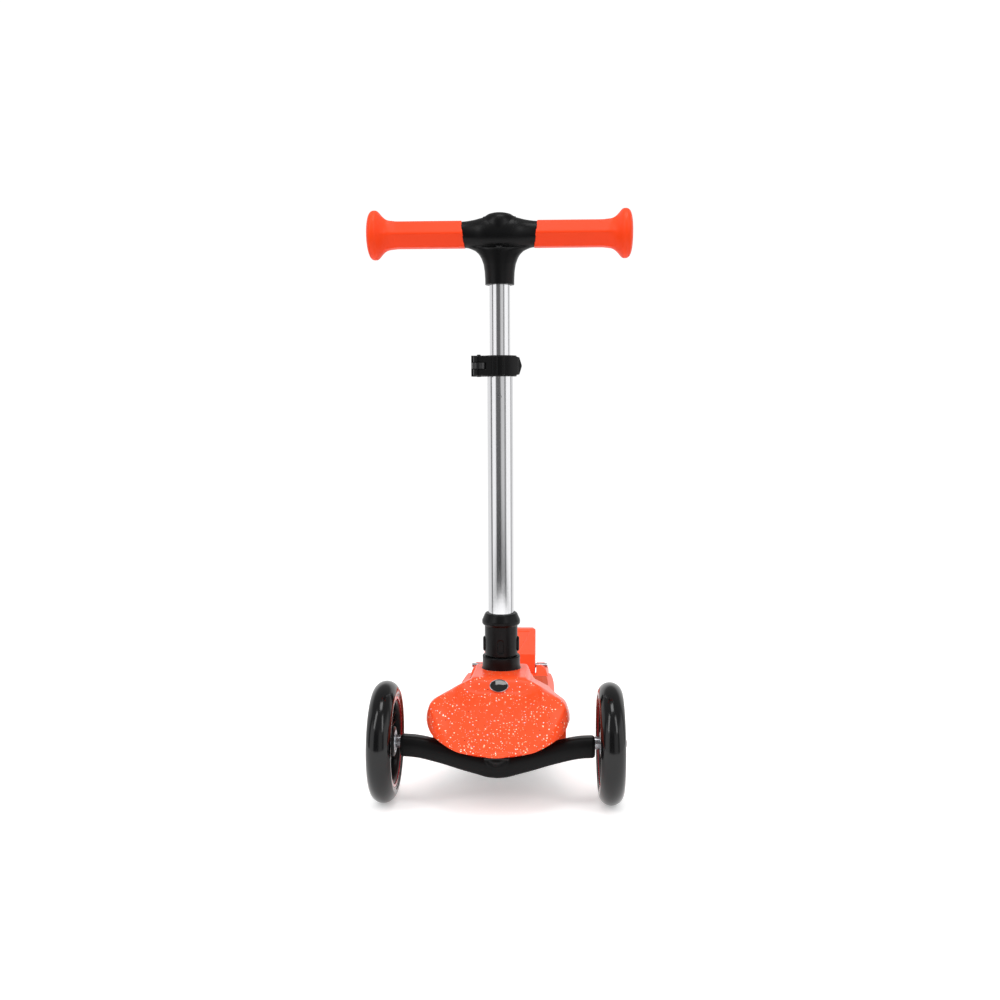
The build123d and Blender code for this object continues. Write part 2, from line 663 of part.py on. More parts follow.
with BuildPart() as tee_joint:
    add(turned_across([(-GRIP_IN, 0), (-GRIP_IN, TEE_END_R), (-30, 15.4), (-19, TEE_R), (19, TEE_R), (30, 15.4),
                       (GRIP_IN, TEE_END_R), (GRIP_IN, 0)]))
    add(turned(stem_plane(0), [
        (0, TEE_LOW), (TEE_NECK_R, TEE_LOW), (TEE_NECK_R + 1, TEE_AXIS - 24), (TEE_R, TEE_AXIS - 10),
        (TEE_R, TEE_AXIS), (15, TEE_AXIS + 17), (6, TEE_AXIS + 21.5), (0, TEE_AXIS + 21.5)]))
    # webs between arms and neck
    with BuildSketch(Plane(origin=BAR_PLANE.origin - BAR_PLANE.y_dir * 14, x_dir=(1, 0, 0),
                           z_dir=BAR_PLANE.y_dir)):
        with BuildLine():
            Polyline((-28, 8), (28, 8), (17, 22), (-17, 22), close=True)
        make_face()
    extrude(amount=28)
    with BuildSketch(ACROSS.offset(-60)):
        Circle(CORE_R)
    extrude(amount=120, mode=Mode.SUBTRACT)
    with BuildSketch(stem_plane(TEE_LOW - 1)):
        Circle(INNER_TUBE_R)
    extrude(amount=BAR_HIGH - TEE_LOW + 1, mode=Mode.SUBTRACT)
save(tee_joint.part, "tee_joint")

with BuildPart() as tee_panel:
    with BuildSketch(Plane(origin=BAR_PLANE.origin, x_dir=(1, 0, 0), z_dir=-BAR_PLANE.y_dir)):
        with BuildLine():
            Polyline((0, 20), (14, 16.5), (16, 13), (3, -16), (-3, -16), (-16, 13), (-14, 16.5), close=True)
        make_face()
        fillet(vertices().group_by(Axis.Z)[0], 2)
    extrude(amount=TEE_R + 1.2)
    add(tee_joint.part, mode=Mode.SUBTRACT)
# only the plate in front of the joint is kept
save(tee_panel.solids().sort_by(Axis.Y)[0], "tee_panel")

with BuildPart() as handlebar_core:
    with BuildSketch(ACROSS.offset(-122)):
        Circle(CORE_R)
        Circle(CORE_BORE_R, mode=Mode.SUBTRACT)
    extrude(amount=244)
save(handlebar_core.part, "handlebar_core")

for side, name in ((-1, "left"), (1, "right")):
    with BuildPart() as grip:
        add(turned_across([(side * x, r) for x, r in (
            (GRIP_IN, CORE_R), (GRIP_IN, GRIP_R), (112, GRIP_R), (119, 16), (124, 20.5), (127.5, GRIP_FLANGE_R - 0.6),
            (130.5, GRIP_FLANGE_R), (134, GRIP_FLANGE_R - 1), (136.5, GRIP_FLANGE_R - 4), (GRIP_END, 14),
            (GRIP_END, 0), (123, 0), (123, CORE_R))]))
    save(grip.part, f"grip_{name}")

# --- front axle ---------------------------------------------------------------------------------------
BEAM_END_X, BEAM_DEEP, BEAM_TALL = 97.0, 22.0, 21.0
BUSH_R = 6.0
HUB_IN, HUB_OUT = 102.3, 122.3

with BuildPart() as axle_beam:
    with BuildLine() as beam_path:
        FilletPolyline((-BEAM_END_X, FRONT_Y, 57), (-84, FRONT_Y, 57), (0, FRONT_Y - 6, 41), (84, FRONT_Y, 57),
                       (BEAM_END_X, FRONT_Y, 57), radius=[30, 60, 30])
    with BuildSketch(Plane(origin=(-BEAM_END_X, FRONT_Y, 57), x_dir=(0, 1, 0), z_dir=beam_path.line % 0)):
        Rectangle(BEAM_DEEP, BEAM_TALL)
        fillet(vertices(), 4)
    sweep(path=beam_path.line)
    add(ring(pivot_plane(-LUG_IN + 0.8), 13, 0, 2 * LUG_IN - 1.6))
    with BuildSketch(pivot_plane(-40)):
        Circle(BUSH_R)
    extrude(amount=80, mode=Mode.SUBTRACT)
    with BuildSketch(cross_plane(-120, FRONT_Y, FRONT_Z)):
        Circle(BOLT_R)
    extrude(amount=240, mode=Mode.SUBTRACT)
save(axle_beam.part, "axle_beam")

with BuildPart() as steer_bushes:
    for end in (-1, 1):
        add(ring(pivot_plane(end * (LUG_IN - 0.3)), 9.5, BOLT_R + RUN, -end * 0.5))
        add(ring(pivot_plane(end * (LUG_IN - 0.8)), BUSH_R, BOLT_R + RUN, -end * 13))
save(steer_bushes.part, "steer_bushes")

CAP_NUT_R, CAP_NUT_OUT = 6.0, 128.8
with BuildPart() as wheel_bolts:
    for side in (-1, 1):
        with BuildSketch(cross_plane(side * 84, FRONT_Y, FRONT_Z)):
            Circle(BOLT_R)
        extrude(amount=side * (126 - 84))
save(wheel_bolts.part, "wheel_bolts")

with BuildPart() as wheel_washers:
    for side in (-1, 1):
        with BuildSketch(cross_plane(side * BEAM_END_X, FRONT_Y, FRONT_Z)):
            Circle(6.4)
            Circle(BOLT_R, mode=Mode.SUBTRACT)
        extrude(amount=side * (HUB_IN - 0.2 - BEAM_END_X))
save(wheel_washers.part, "wheel_washers")

with BuildPart() as cap_nuts:
    for side in (-1, 1):
        with BuildSketch(cross_plane(side * (HUB_OUT + 0.2), FRONT_Y, FRONT_Z)):
            RegularPolygon(CAP_NUT_R, 6)
        extrude(amount=side * (CAP_NUT_OUT - HUB_OUT - 0.2))
        with BuildSketch(cross_plane(side * (HUB_OUT + 0.2), FRONT_Y, FRONT_Z)):
            Circle(BOLT_R)
        extrude(amount=side * (126 - HUB_OUT - 0.2), mode=Mode.SUBTRACT)
save(cap_nuts.part, "cap_nuts")


# --- wheels -------------------------------------------------------------------------------------------
def turned_on_axle(x, y, z, points):
    """A solid turned about a wheel's axis from (offset across, radius) points."""
    with BuildPart(mode=Mode.PRIVATE) as made:
        with BuildSketch(Plane(origin=(x, y, z), x_dir=(1, 0, 0), z_dir=(0, -1, 0))):
            with BuildLine():
                Polyline(*points, close=True)
            make_face()
        revolve(axis=Axis((x, y, z), (1, 0, 0)))
    return made.part


def tyre(x, y, z, seat_r, tread_r, shoulder):
    """A cast tyre: straight seat, slightly bulged walls and a round tread."""
    half = WHEEL_WIDTH / 2
    with BuildPart(mode=Mode.PRIVATE) as made:
        with BuildSketch(Plane(origin=(x, y, z), x_dir=(1, 0, 0), z_dir=(0, -1, 0))):
            with BuildLine():
                Polyline((half, tread_r - shoulder), (half - 1.5, seat_r), (1.5 - half, seat_r),
                         (-half, tread_r - shoulder))
                ThreePointArc((-half, tread_r - shoulder), (0, tread_r), (half, tread_r - shoulder))
            make_face()
        revolve(axis=Axis((x, y, z), (1, 0, 0)))
    return made.part


def hub(x, y, z, rim_r, rim_in_r, boss_r, boss_half, web_half, windows, window_mid_r, window_size):
    """A spoked plastic hub with a bearing seat in each face and a bore between them."""
    with BuildPart(mode=Mode.PRIVATE) as made:
        add(turned_on_axle(x, y, z, [(-9.5, rim_r), (9.5, rim_r), (9.5, rim_in_r), (-9.5, rim_in_r)]))
        add(turned_on_axle(x, y, z, [(-boss_half, 0), (-boss_half, boss_r), (boss_half, boss_r), (boss_half, 0)]))
        add(turned_on_axle(x, y, z, [(-web_half, 0), (-web_half, rim_in_r + 0.5), (web_half, rim_in_r + 0.5),
                                     (web_half, 0)]))
        with BuildSketch(cross_plane(x - 20, y, z)):
            with PolarLocations(window_mid_r, windows):
                RectangleRounded(window_size[0], window_size[1], min(window_size) * 0.3)
        extrude(amount=40, mode=Mode.SUBTRACT)
        for side in (-1, 1):
            with BuildSketch(cross_plane(x + side * 3, y, z)):
                Circle(BEARING_R)
            extrude(amount=side * 20, mode=Mode.SUBTRACT)
        with BuildSketch(cross_plane(x - 20, y, z)):
            Circle(BEARING_BORE_R + 5)
        extrude(amount=40, mode=Mode.SUBTRACT)
    return made.part


def bearings(x, y, z):
    """Two ball races side by side on a wheel's axis, each with a groove between its inner and outer ring."""
    with BuildPart(mode=Mode.PRIVATE) as made:
        for side in (-1, 1):
            add(turned_on_axle(x, y, z, [
                (side * 3, BEARING_BORE_R), (side * 10, BEARING_BORE_R), (side * 10, 6), (side * 9.4, 6.2),
                (side * 9.4, 9), (side * 10, 9.2), (side * 10, BEARING_R), (side * 3, BEARING_R)]))
    return made.part


for side, name in ((-1, "left"), (1, "right")):
    centre = (side * TRACK / 2, FRONT_Y, FRONT_Z)
    save(tyre(*centre, TYRE_SEAT_R, FRONT_Z, 9), f"tyre_front_{name}")
    save(turned_on_axle(*centre, [(-10.5, RING_IN_R), (-10.5, TYRE_SEAT_R), (10.5, TYRE_SEAT_R), (10.5, RING_IN_R)]),
         f"ring_front_{name}")
    save(hub(*centre, RING_IN_R, 38, 15, 10, 5, 6, 26.5, (16, 13)), f"hub_front_{name}")
    save(bearings(*centre), f"bearings_front_{name}")
    save(turned_on_axle(*centre, [(-3, BEARING_BORE_R), (-3, 6), (3, 6), (3, BEARING_BORE_R)]),
         f"spacer_front_{name}")

rear = (0, REAR_Y, REAR_Z)
save(tyre(*rear, REAR_SEAT_R, REAR_Z, 8), "tyre_rear")
save(hub(*rear, REAR_SEAT_R, 23, 14, 10, 5, 5, 18.5, (5, 6)), "hub_rear")
save(bearings(*rear), "bearings_rear")
save(turned_on_axle(*rear, [(-3, BEARING_BORE_R), (-3, 6), (3, 6), (3, BEARING_BORE_R)]), "spacer_rear")

# --- rear axle ----------------------------------------------------------------------------------------
AXLE_SEAT_X = 48.5
with BuildPart() as rear_axle:
    add(turned_on_axle(*rear, [(-AXLE_SEAT_X - 4, 0), (-AXLE_SEAT_X - 4, 6.5), (-AXLE_SEAT_X, 6.5),
                               (-AXLE_SEAT_X, BOLT_R), (AXLE_SEAT_X + 4.5, BOLT_R), (AXLE_SEAT_X + 4.5, 0)]))
    with BuildSketch(cross_plane(-AXLE_SEAT_X - 4, REAR_Y, REAR_Z)):
        RegularPolygon(3, 6)
    extrude(amount=2.5, mode=Mode.SUBTRACT)
save(rear_axle.part, "rear_axle")

with BuildPart() as rear_axle_nut:
    with BuildSketch(cross_plane(AXLE_SEAT_X, REAR_Y, REAR_Z)):
        RegularPolygon(7, 6)
        Circle(BOLT_R, mode=Mode.SUBTRACT)
    extrude(amount=5)
save(rear_axle_nut.part, "rear_axle_nut")

with BuildPart() as rear_spacers:
    for side in (-1, 1):
        with BuildSketch(cross_plane(side * 10.2, REAR_Y, REAR_Z)):
            Circle(5.8)
            Circle(BOLT_R, mode=Mode.SUBTRACT)
        extrude(amount=side * 4.8)
save(rear_spacers.part, "rear_spacers")

# --- mudguard brake -----------------------------------------------------------------------------------
PIN_R, BRAKE_BOSS_R = 3.0, 6.0
FENDER_SIDE = [
    (167, 63), (174, 90), (264, 114), (274, 115), (280, 111), (276, 97), (271, 63),
]
FENDER_HOLLOW = [
    (170.2, 55), (170.2, 66), (176.4, 87.4), (264, 110.6), (269, 111), (272.6, 97), (267.6, 63), (267, 55),
]

with BuildPart() as brake_fender:
    with BuildSketch(Plane.YZ.offset(-FENDER_HALF)):
        with BuildLine():
            Polyline(*FENDER_SIDE, close=True)
        make_face()
    extrude(amount=2 * FENDER_HALF)
    # the tail draws in towards the end
    with BuildSketch(Plane.XY.offset(40)):
        with BuildLine():
            Polyline((-FENDER_HALF, 150), (-FENDER_HALF, 262), (-28, 285), (28, 285), (FENDER_HALF, 262),
                     (FENDER_HALF, 150), close=True)
        make_face()
    extrude(amount=100, mode=Mode.INTERSECT)
    with BuildSketch(Plane.YZ.offset(FENDER_WALL - FENDER_HALF)):
        with BuildLine():
            Polyline(*FENDER_HOLLOW, close=True)
        make_face()
    extrude(amount=2 * (FENDER_HALF - FENDER_WALL), mode=Mode.SUBTRACT)
    # rib that backs the wear plate
    with BuildSketch(Plane.YZ.offset(-9)):
        with BuildLine():
            back = CenterArc((REAR_Y, REAR_Z), BRAKE_PAD_R + 2, 58, 64)
            Polyline(back @ 1, (203, 96), (248, 108), back @ 0)
        make_face()
    extrude(amount=18)
    # hinge boss
    with BuildSketch(cross_plane(-FENDER_HALF, BRAKE_Y, BRAKE_Z)):
        Circle(BRAKE_BOSS_R)
    extrude(amount=2 * FENDER_HALF)
    # room for the return spring, and the hinge bore
    with BuildSketch(cross_plane(-26, BRAKE_Y, BRAKE_Z)):
        Circle(BRAKE_BOSS_R + 2.4)
    extrude(amount=15, mode=Mode.SUBTRACT)
    with BuildSketch(cross_plane(-FENDER_HALF - 1, BRAKE_Y, BRAKE_Z)):
        Circle(PIN_R + RUN)
    extrude(amount=2 * FENDER_HALF + 2, mode=Mode.SUBTRACT)
    # shallow V-shaped recess in the top for the inlay
    with BuildSketch(Plane(origin=(0, 174, 90), x_dir=(1, 0, 0), z_dir=(0, -0.2577, 0.9662))):
        with BuildLine():
            Polyline((-12, 8), (12, 8), (27, 84), (-27, 84), close=True)
        make_face()
        fillet(vertices(), 3)
    extrude(amount=-1.5, mode=Mode.SUBTRACT)
save(brake_fender.part, "brake_fender")

with BuildPart() as brake_inlay:
    with BuildSketch(Plane(origin=(0, 174, 90), x_dir=(1, 0, 0), z_dir=(0, -0.2577, 0.9662)).offset(-1.5)):
        with BuildLine():
            Polyline((-12, 8), (12, 8), (27, 84), (-27, 84), close=True)
        make_face()
        fillet(vertices(), 3)
        offset(amount=-0.15)
    extrude(amount=0.9)
save(brake_inlay.part, "brake_inlay")

with BuildPart() as brake_plate:
    with BuildSketch(Plane.YZ.offset(-10)):
        with BuildLine():
            under = CenterArc((REAR_Y, REAR_Z), BRAKE_PAD_R, 58, 64)
            over = CenterArc((REAR_Y, REAR_Z), BRAKE_PAD_R + 2, 58, 64)
            Line(under @ 0, over @ 0)
            Line(under @ 1, over @ 1)
        make_face()
    extrude(amount=20)
save(brake_plate.part, "brake_plate")

with BuildPart() as brake_pin:
    with BuildSketch(cross_plane(-52, BRAKE_Y, BRAKE_Z)):
        Circle(PIN_R)
    extrude(amount=104)
save(brake_pin.part, "brake_pin")

with BuildPart() as brake_spring:
    with BuildLine() as coil_path:
        Helix(pitch=2.0, height=9.0, radius=5.0, center=(-24.5, BRAKE_Y, BRAKE_Z), direction=(1, 0, 0))
    with BuildSketch(Plane(origin=coil_path.line @ 0, z_dir=coil_path.line % 0)):
        Circle(0.7)
    sweep(path=coil_path.line, is_frenet=True)
save(brake_spring.part, "brake_spring")
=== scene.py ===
"""Looks of a child's three-wheeled, lean-to-steer kick scooter, laid out as a Blender add-on.

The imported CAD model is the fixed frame. Lengths in the shape functions are millimetres in that frame, and
mesh_from() turns them into metres. +Z is up and the scooter faces -Y.
"""

from math import atan2, cos, exp, pi, radians, sin, sqrt

import bmesh
import bpy
from bpy.props import FloatProperty, FloatVectorProperty, IntProperty, PointerProperty
from mathutils import Matrix, Vector
from mathutils.bvhtree import BVHTree


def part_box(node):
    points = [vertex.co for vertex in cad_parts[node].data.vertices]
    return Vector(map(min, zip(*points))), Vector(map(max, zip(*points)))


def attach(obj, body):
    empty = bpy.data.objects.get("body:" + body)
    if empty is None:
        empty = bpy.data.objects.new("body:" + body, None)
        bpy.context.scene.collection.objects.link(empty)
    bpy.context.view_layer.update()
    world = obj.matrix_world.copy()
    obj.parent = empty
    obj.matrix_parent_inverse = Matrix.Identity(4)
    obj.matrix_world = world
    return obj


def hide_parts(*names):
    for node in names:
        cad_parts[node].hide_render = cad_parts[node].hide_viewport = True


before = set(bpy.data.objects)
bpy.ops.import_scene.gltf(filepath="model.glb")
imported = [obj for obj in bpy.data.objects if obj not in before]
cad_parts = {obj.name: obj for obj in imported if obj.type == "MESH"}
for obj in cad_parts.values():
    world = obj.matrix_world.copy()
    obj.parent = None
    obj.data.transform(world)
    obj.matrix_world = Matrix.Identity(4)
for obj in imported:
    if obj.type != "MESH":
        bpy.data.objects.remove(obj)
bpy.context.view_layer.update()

bl_info = {
    "name": "Three-wheeled kick scooter",
    "version": (1, 0, 0),
    "blender": (4, 5, 0),
    "location": "3D View > Sidebar > Scooter",
    "description": "Builds the visible pieces and the studio of a child's kick scooter round its CAD frame",
    "category": "Object",
}

MM = 0.001


# --- measures taken from the frame --------------------------------------------------------------------
def span(node):
    """A node's lowest and highest corner in millimetres."""
    low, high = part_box(node)
    return low / MM, high / MM


def middle(node):
    """The centre of a node's box in millimetres."""
    low, high = span(node)
    return (low + high) / 2


STEM_LEAN = radians(6)
STEM_BASE = Vector((0, -122, 117.3))
STEM = Matrix.Translation(STEM_BASE) @ Matrix.Rotation(STEM_LEAN, 4, "X")
UPRIGHT = Matrix.Identity(4)
SIDEWAYS = Matrix.Rotation(radians(90), 4, "Y")
BAR_H = 465.3  # handlebar axis, along the stem
BAR = STEM @ Matrix.Translation((0, 0, BAR_H))
GRIP_END = span("grip_right")[1].x
GRIP_START = span("grip_right")[0].x
FRONT_AXLE = middle("bearings_front_right")
REAR_AXLE = middle("bearings_rear")
WHEEL_OUT = FRONT_AXLE.x
TYRE_R = FRONT_AXLE.z
REAR_TYRE_R = REAR_AXLE.z
BEAM_END = span("axle_beam")[1].x
PIVOT = Matrix.Translation((0, -226, 47)) @ Matrix.Rotation(radians(55), 4, "X")


# --- sizes and colours that a user would change -------------------------------------------------------
def to_linear(code):
    """A colour written as sRGB hex, as linear RGBA."""
    parts = [int(code[i:i + 2], 16) / 255 for i in (1, 3, 5)]
    return tuple(c / 12.92 if c <= 0.04045 else ((c + 0.055) / 1.055) ** 2.4 for c in parts) + (1.0,)


def colour(name, code, words):
    """A colour property with an sRGB hex default."""
    return FloatVectorProperty(name=name, description=words, subtype="COLOR", size=4, min=0, max=1,
                               default=to_linear(code))


def length(name, millimetres, words):
    """A length property with its default in millimetres."""
    return FloatProperty(name=name, description=words, unit="LENGTH", min=0, precision=4,
                         default=millimetres * MM)


class ScooterColours(bpy.types.PropertyGroup):
    """Colours of the scooter's finishes."""

    shell: colour("Shell", "#F94E22", "Moulded deck, hood and mudguard")
    grip: colour("Grips", "#FA4313", "Moulded rubber of the two grips")
    black: colour("Black plastic", "#0B0B0C", "Moulded nylon of the joint, clamp, socket and beam")
    tyre: colour("Tyres", "#060607", "Cast urethane of the tyres")
    ring: colour("Wheel rings", "#B40A1C", "Coloured ring between tyre and hub")
    tube: colour("Tubes", "#DCDCDE", "Polished aluminium of the stem")


class ScooterSizes(bpy.types.PropertyGroup):
    """Fine sizes of the scooter's details."""

    flake: length("Glitter flake", 0.68, "Radius of the larger glitter flakes in the hood")
    flake_pitch: length("Flake spacing", 3.0, "Spacing of the larger glitter flakes")
    crease: length("Crease depth", 0.9, "Depth of the two soft creases in the hood")
    wall_flare: length("Hood flare", 1.4, "How far the hood's side wall leans out from its top edge")
    rib_pitch: length("Mat rib spacing", 9.0, "Spacing of the raised chevrons on the foot mat")
    panel_lift: length("Cap panel lift", 0.8, "How far the V-shaped cap stands proud of the handlebar joint")
    facets: IntProperty(name="Grip facets", description="Flat sides round each grip", default=6, min=3,
                        max=12)


def colours():
    """The scene's colour settings."""
    return bpy.context.scene.scooter_colours


def sizes():
    """The scene's size settings."""
    return bpy.context.scene.scooter_sizes


# --- curves and meshes --------------------------------------------------------------------------------
def curve_at(points, place):
    """The height of a smooth curve through (place, height) points that never overshoots them."""
    if place <= points[0][0]:
        return points[0][1]
    if place >= points[-1][0]:
        return points[-1][1]
    spans = list(zip(points, points[1:]))
    slopes = [(b[1] - a[1]) / (b[0] - a[0]) for a, b in spans]
    k = next(i for i, (a, b) in enumerate(spans) if place <= b[0])

    def tangent(i):
        if i == 0 or i == len(slopes):
            return slopes[min(i, len(slopes) - 1)]
        before, after = slopes[i - 1], slopes[i]
        return 0.0 if before * after <= 0 else 2 * before * after / (before + after)

    (x0, y0), (x1, y1) = spans[k]
    wide = x1 - x0
    t = (place - x0) / wide
    return ((2 * t ** 3 - 3 * t ** 2 + 1) * y0 + (t ** 3 - 2 * t ** 2 + t) * wide * tangent(k)
            + (3 * t ** 2 - 2 * t ** 3) * y1 + (t ** 3 - t ** 2) * wide * tangent(k + 1))


def smooth_step(low, high, value):
    """0 below low, 1 above high and an even ease between them."""
    t = min(1.0, max(0.0, (value - low) / (high - low)))
    return t * t * (3 - 2 * t)


def smooth_min(a, b, blend):
    """The lower of two heights, rounded where they cross."""
    h = max(blend - abs(a - b), 0) / blend
    return min(a, b) - h * h * blend / 4


def smooth_path(points, per_span=10):
    """Points along a smooth line through the given ones."""
    ends = [2 * Vector(points[0]) - Vector(points[1])] + [Vector(p) for p in points]
    ends.append(2 * ends[-1] - ends[-2])
    path = []
    for a, b, c, d in zip(ends, ends[1:], ends[2:], ends[3:]):
        for k in range(per_span):
            t = k / per_span
            path.append(0.5 * (2 * b + (c - a) * t + (2 * a - 5 * b + 4 * c - d) * t ** 2
                               + (3 * b - a - 3 * c + d) * t ** 3))
    path.append(ends[-2])
    return path


def eased(points, radius, steps=4, closed=True):
    """The same outline with its corners rounded to about the radius."""
    points = [Vector(p) for p in points]
    made = []
    for k, corner in enumerate(points):
        if not closed and k in (0, len(points) - 1):
            made.append(corner)
            continue
        before, after = points[k - 1] - corner, points[(k + 1) % len(points)] - corner
        reach = min(radius, 0.45 * before.length, 0.45 * after.length)
        start, end = corner + before.normalized() * reach, corner + after.normalized() * reach
        for i in range(steps + 1):
            t = i / steps
            made.append(start * (1 - t) ** 2 + corner * 2 * t * (1 - t) + end * t ** 2)
    return made


def evenly(path, count, closed=True):
    """The path again as that many points an even distance apart."""
    points = [Vector(p) for p in path] + ([Vector(path[0])] if closed else [])
    marks = [0.0]
    for a, b in zip(points, points[1:]):
        marks.append(marks[-1] + (b - a).length)
    made, k = [], 0
    for i in range(count):
        want = marks[-1] * i / (count if closed else count - 1)
        while k < len(marks) - 2 and marks[k + 1] < want:
            k += 1
        step = marks[k + 1] - marks[k]
        made.append(points[k].lerp(points[k + 1], (want - marks[k]) / step if step else 0))
    return made


def mesh_from(name, points, faces, matrix=UPRIGHT, outward=True):
    """A mesh from points in millimetres, placed by the matrix, with its doubled points merged."""
    mesh = bpy.data.meshes.new(name)
    mesh.from_pydata([MM * (matrix @ Vector(p)) for p in points], [], faces)
    work = bmesh.new()
    work.from_mesh(mesh)
    bmesh.ops.remove_doubles(work, verts=work.verts, dist=1e-7)
    if outward:
        bmesh.ops.recalc_face_normals(work, faces=work.faces)
    work.to_mesh(mesh)
    work.free()
    return mesh


def lofted(name, rings, matrix=UPRIGHT, closed=True, capped=True, wrapped=False, outward=True):
    """A skin over rings of points, with the same number of points in each ring."""
    count = len(rings[0])
    points = [p for ring in rings for p in ring]
    faces = []
    for k in range(len(rings) if wrapped else len(rings) - 1):
        here, there = k * count, (k + 1) % len(rings) * count
        for i in range(count if closed else count - 1):
            j = (i + 1) % count
            faces.append((here + i, here + j, there + j, there + i))
    if capped and not wrapped:
        faces.append(tuple(reversed(range(count))))
        faces.append(tuple(len(points) - count + i for i in range(count)))
    return mesh_from(name, points, faces, matrix, outward)


def turned(name, profile, matrix=UPRIGHT, steps=96):
    """A profile of (radius, height) points turned about Z. One that starts off the axis closes on itself."""
    rings = []
    for radius, height in profile:
        rings.append([(radius * cos(2 * pi * i / steps), radius * sin(2 * pi * i / steps), height)
                      for i in range(steps)])
    return lofted(name, rings, matrix, capped=False, wrapped=profile[0][0] > 0)


def joined(name, meshes):
    """One mesh of several."""
    work = bmesh.new()
    for mesh in meshes:
        work.from_mesh(mesh)
    made = bpy.data.meshes.new(name)
    work.to_mesh(made)
    work.free()
    return made


def evaluated(mesh, *modifiers):
    """The mesh after modifiers, each a (kind, settings) pair."""
    holder = bpy.data.objects.new("holder", mesh)
    bpy.context.scene.collection.objects.link(holder)
    for kind, settings in modifiers:
        modifier = holder.modifiers.new(kind, kind)
        for name, value in settings.items():
            setattr(modifier, name, value)
    graph = bpy.context.evaluated_depsgraph_get()
    made = bpy.data.meshes.new_from_object(holder.evaluated_get(graph))
    bpy.data.objects.remove(holder)
    return made


def melted(mesh, voxel, passes, keep=1.0):
    """The mesh rebuilt on an even grid and relaxed, which rounds its edges as a mould does."""
    steps = [("REMESH", {"mode": "VOXEL", "voxel_size": voxel * MM}),
             ("SMOOTH", {"factor": 0.5, "iterations": passes})]
    if keep < 1:
        steps.append(("DECIMATE", {"ratio": keep}))
    return evaluated(mesh, *steps)


def cad_copy(node):
    """A copy of a CAD node's mesh, to be softened and shown in its place."""
    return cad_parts[node].data.copy()


def piece(name, mesh, finish, body, replaces=(), sharp=32):
    """Shows a mesh as one piece of the scooter that rides on a body."""
    obj = bpy.data.objects.new(name, mesh)
    bpy.context.scene.collection.objects.link(obj)
    mesh.shade_smooth()
    mesh.set_sharp_from_angle(angle=radians(sharp))
    mesh.materials.clear()
    mesh.materials.append(finish)
    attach(obj, body)
    if replaces:
        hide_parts(*replaces)
    return obj


def dress(finish, *nodes):
    """Gives CAD nodes a finish."""
    for node in nodes:
        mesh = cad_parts[node].data
        mesh.materials.clear()
        mesh.materials.append(finish)


# --- materials ----------------------------------------------------------------------------------------
def add_node(tree, kind, settings=None, inputs=None):
    """Adds a node with its settings; an input is linked when it is a socket and set when it is a value."""
    node = tree.nodes.new(kind)
    for name, value in (settings or {}).items():
        setattr(node, name, value)
    for key, value in (inputs or {}).items():
        if isinstance(value, bpy.types.NodeSocket):
            tree.links.new(value, node.inputs[key])
        else:
            node.inputs[key].default_value = value
    return node


def noise(tree, place, scale, detail):
    """Cloudy noise from 0 to 1; a scale of 1 / size gives clouds of about that size."""
    inputs = {"Vector": place, "Scale": scale, "Detail": detail}
    return add_node(tree, "ShaderNodeTexNoise", inputs=inputs).outputs[0]


def stretched(tree, place, lengths):
    """The place with each axis divided by a length in millimetres, for patterns longer one way."""
    scale = tuple(1 / (mm * MM) for mm in lengths)
    return add_node(tree, "ShaderNodeMapping", inputs={"Vector": place, "Scale": scale}).outputs[0]


def maths(tree, operation, first, second):
    """The result of one sum of two values or sockets."""
    return add_node(tree, "ShaderNodeMath", {"operation": operation}, {0: first, 1: second}).outputs[0]


def mixed(tree, share, first, second):
    """The first colour, which turns into the second as the share goes from 0 to 1."""
    inputs = {0: share, 6: first, 7: second}
    return add_node(tree, "ShaderNodeMix", {"data_type": "RGBA"}, inputs).outputs[2]


def ranged(tree, value, ends, source=(0.0, 1.0), easing="LINEAR"):
    """A value moved from the source range to the one between the ends, and held there."""
    inputs = {"Value": value, "From Min": source[0], "From Max": source[1], "To Min": ends[0],
              "To Max": ends[1]}
    return add_node(tree, "ShaderNodeMapRange", {"interpolation_type": easing}, inputs).outputs[0]


def new_material(name, sockets):
    """A material with one Principled shader, its constants, and the place on the piece in metres."""
    made = bpy.data.materials.new(name)
    made.use_nodes = True
    tree = made.node_tree
    tree.nodes.clear()
    shader = add_node(tree, "ShaderNodeBsdfPrincipled", inputs=sockets)
    add_node(tree, "ShaderNodeOutputMaterial", inputs={"Surface": shader.outputs["BSDF"]})
    place = add_node(tree, "ShaderNodeTexCoord").outputs["Object"]
    return made, tree, shader, place


CLOUD_SIZE = 35.0  # how far apart the pale and dark clouds of a moulding are
MADE = {}


def shared(make):
    """A material that is made once and used by several pieces."""
    if make not in MADE:
        MADE[make] = make()
    return MADE[make]


def darker(value, share):
    """The same colour at a share of its brightness."""
    return tuple(c * share for c in value[:3]) + (1.0,)


def moulded_finish(name, base, variation, rough, grain, bump, sockets):
    """Shared build of the moulded plastics: cloudy tint, uneven gloss and the mould's fine grain."""
    made, tree, shader, place = new_material(name, sockets)
    clouds = noise(tree, place, 1 / (CLOUD_SIZE * MM), 3.0)
    tint = mixed(tree, clouds, darker(base, 1 - variation), darker(base, 1 + variation))
    tree.links.new(tint, shader.inputs["Base Color"])
    fine = noise(tree, place, 1 / (grain * MM), 4.0)
    tree.links.new(ranged(tree, clouds, rough), shader.inputs["Roughness"])
    relief = add_node(tree, "ShaderNodeBump", inputs={"Strength": bump, "Distance": 0.05 * MM,
                                                      "Height": fine})
    tree.links.new(relief.outputs[0], shader.inputs["Normal"])
    return made, tree, shader, place, tint


def moulded_abs():
    """ABS, injection moulded in a polished tool: bright, even colour, a soft gloss and faint flow clouds."""
    return moulded_finish("moulded_abs", colours().shell, 0.05, (0.27, 0.36), 1.2, 0.25,
                          {"Specular IOR Level": 0.22})[0]


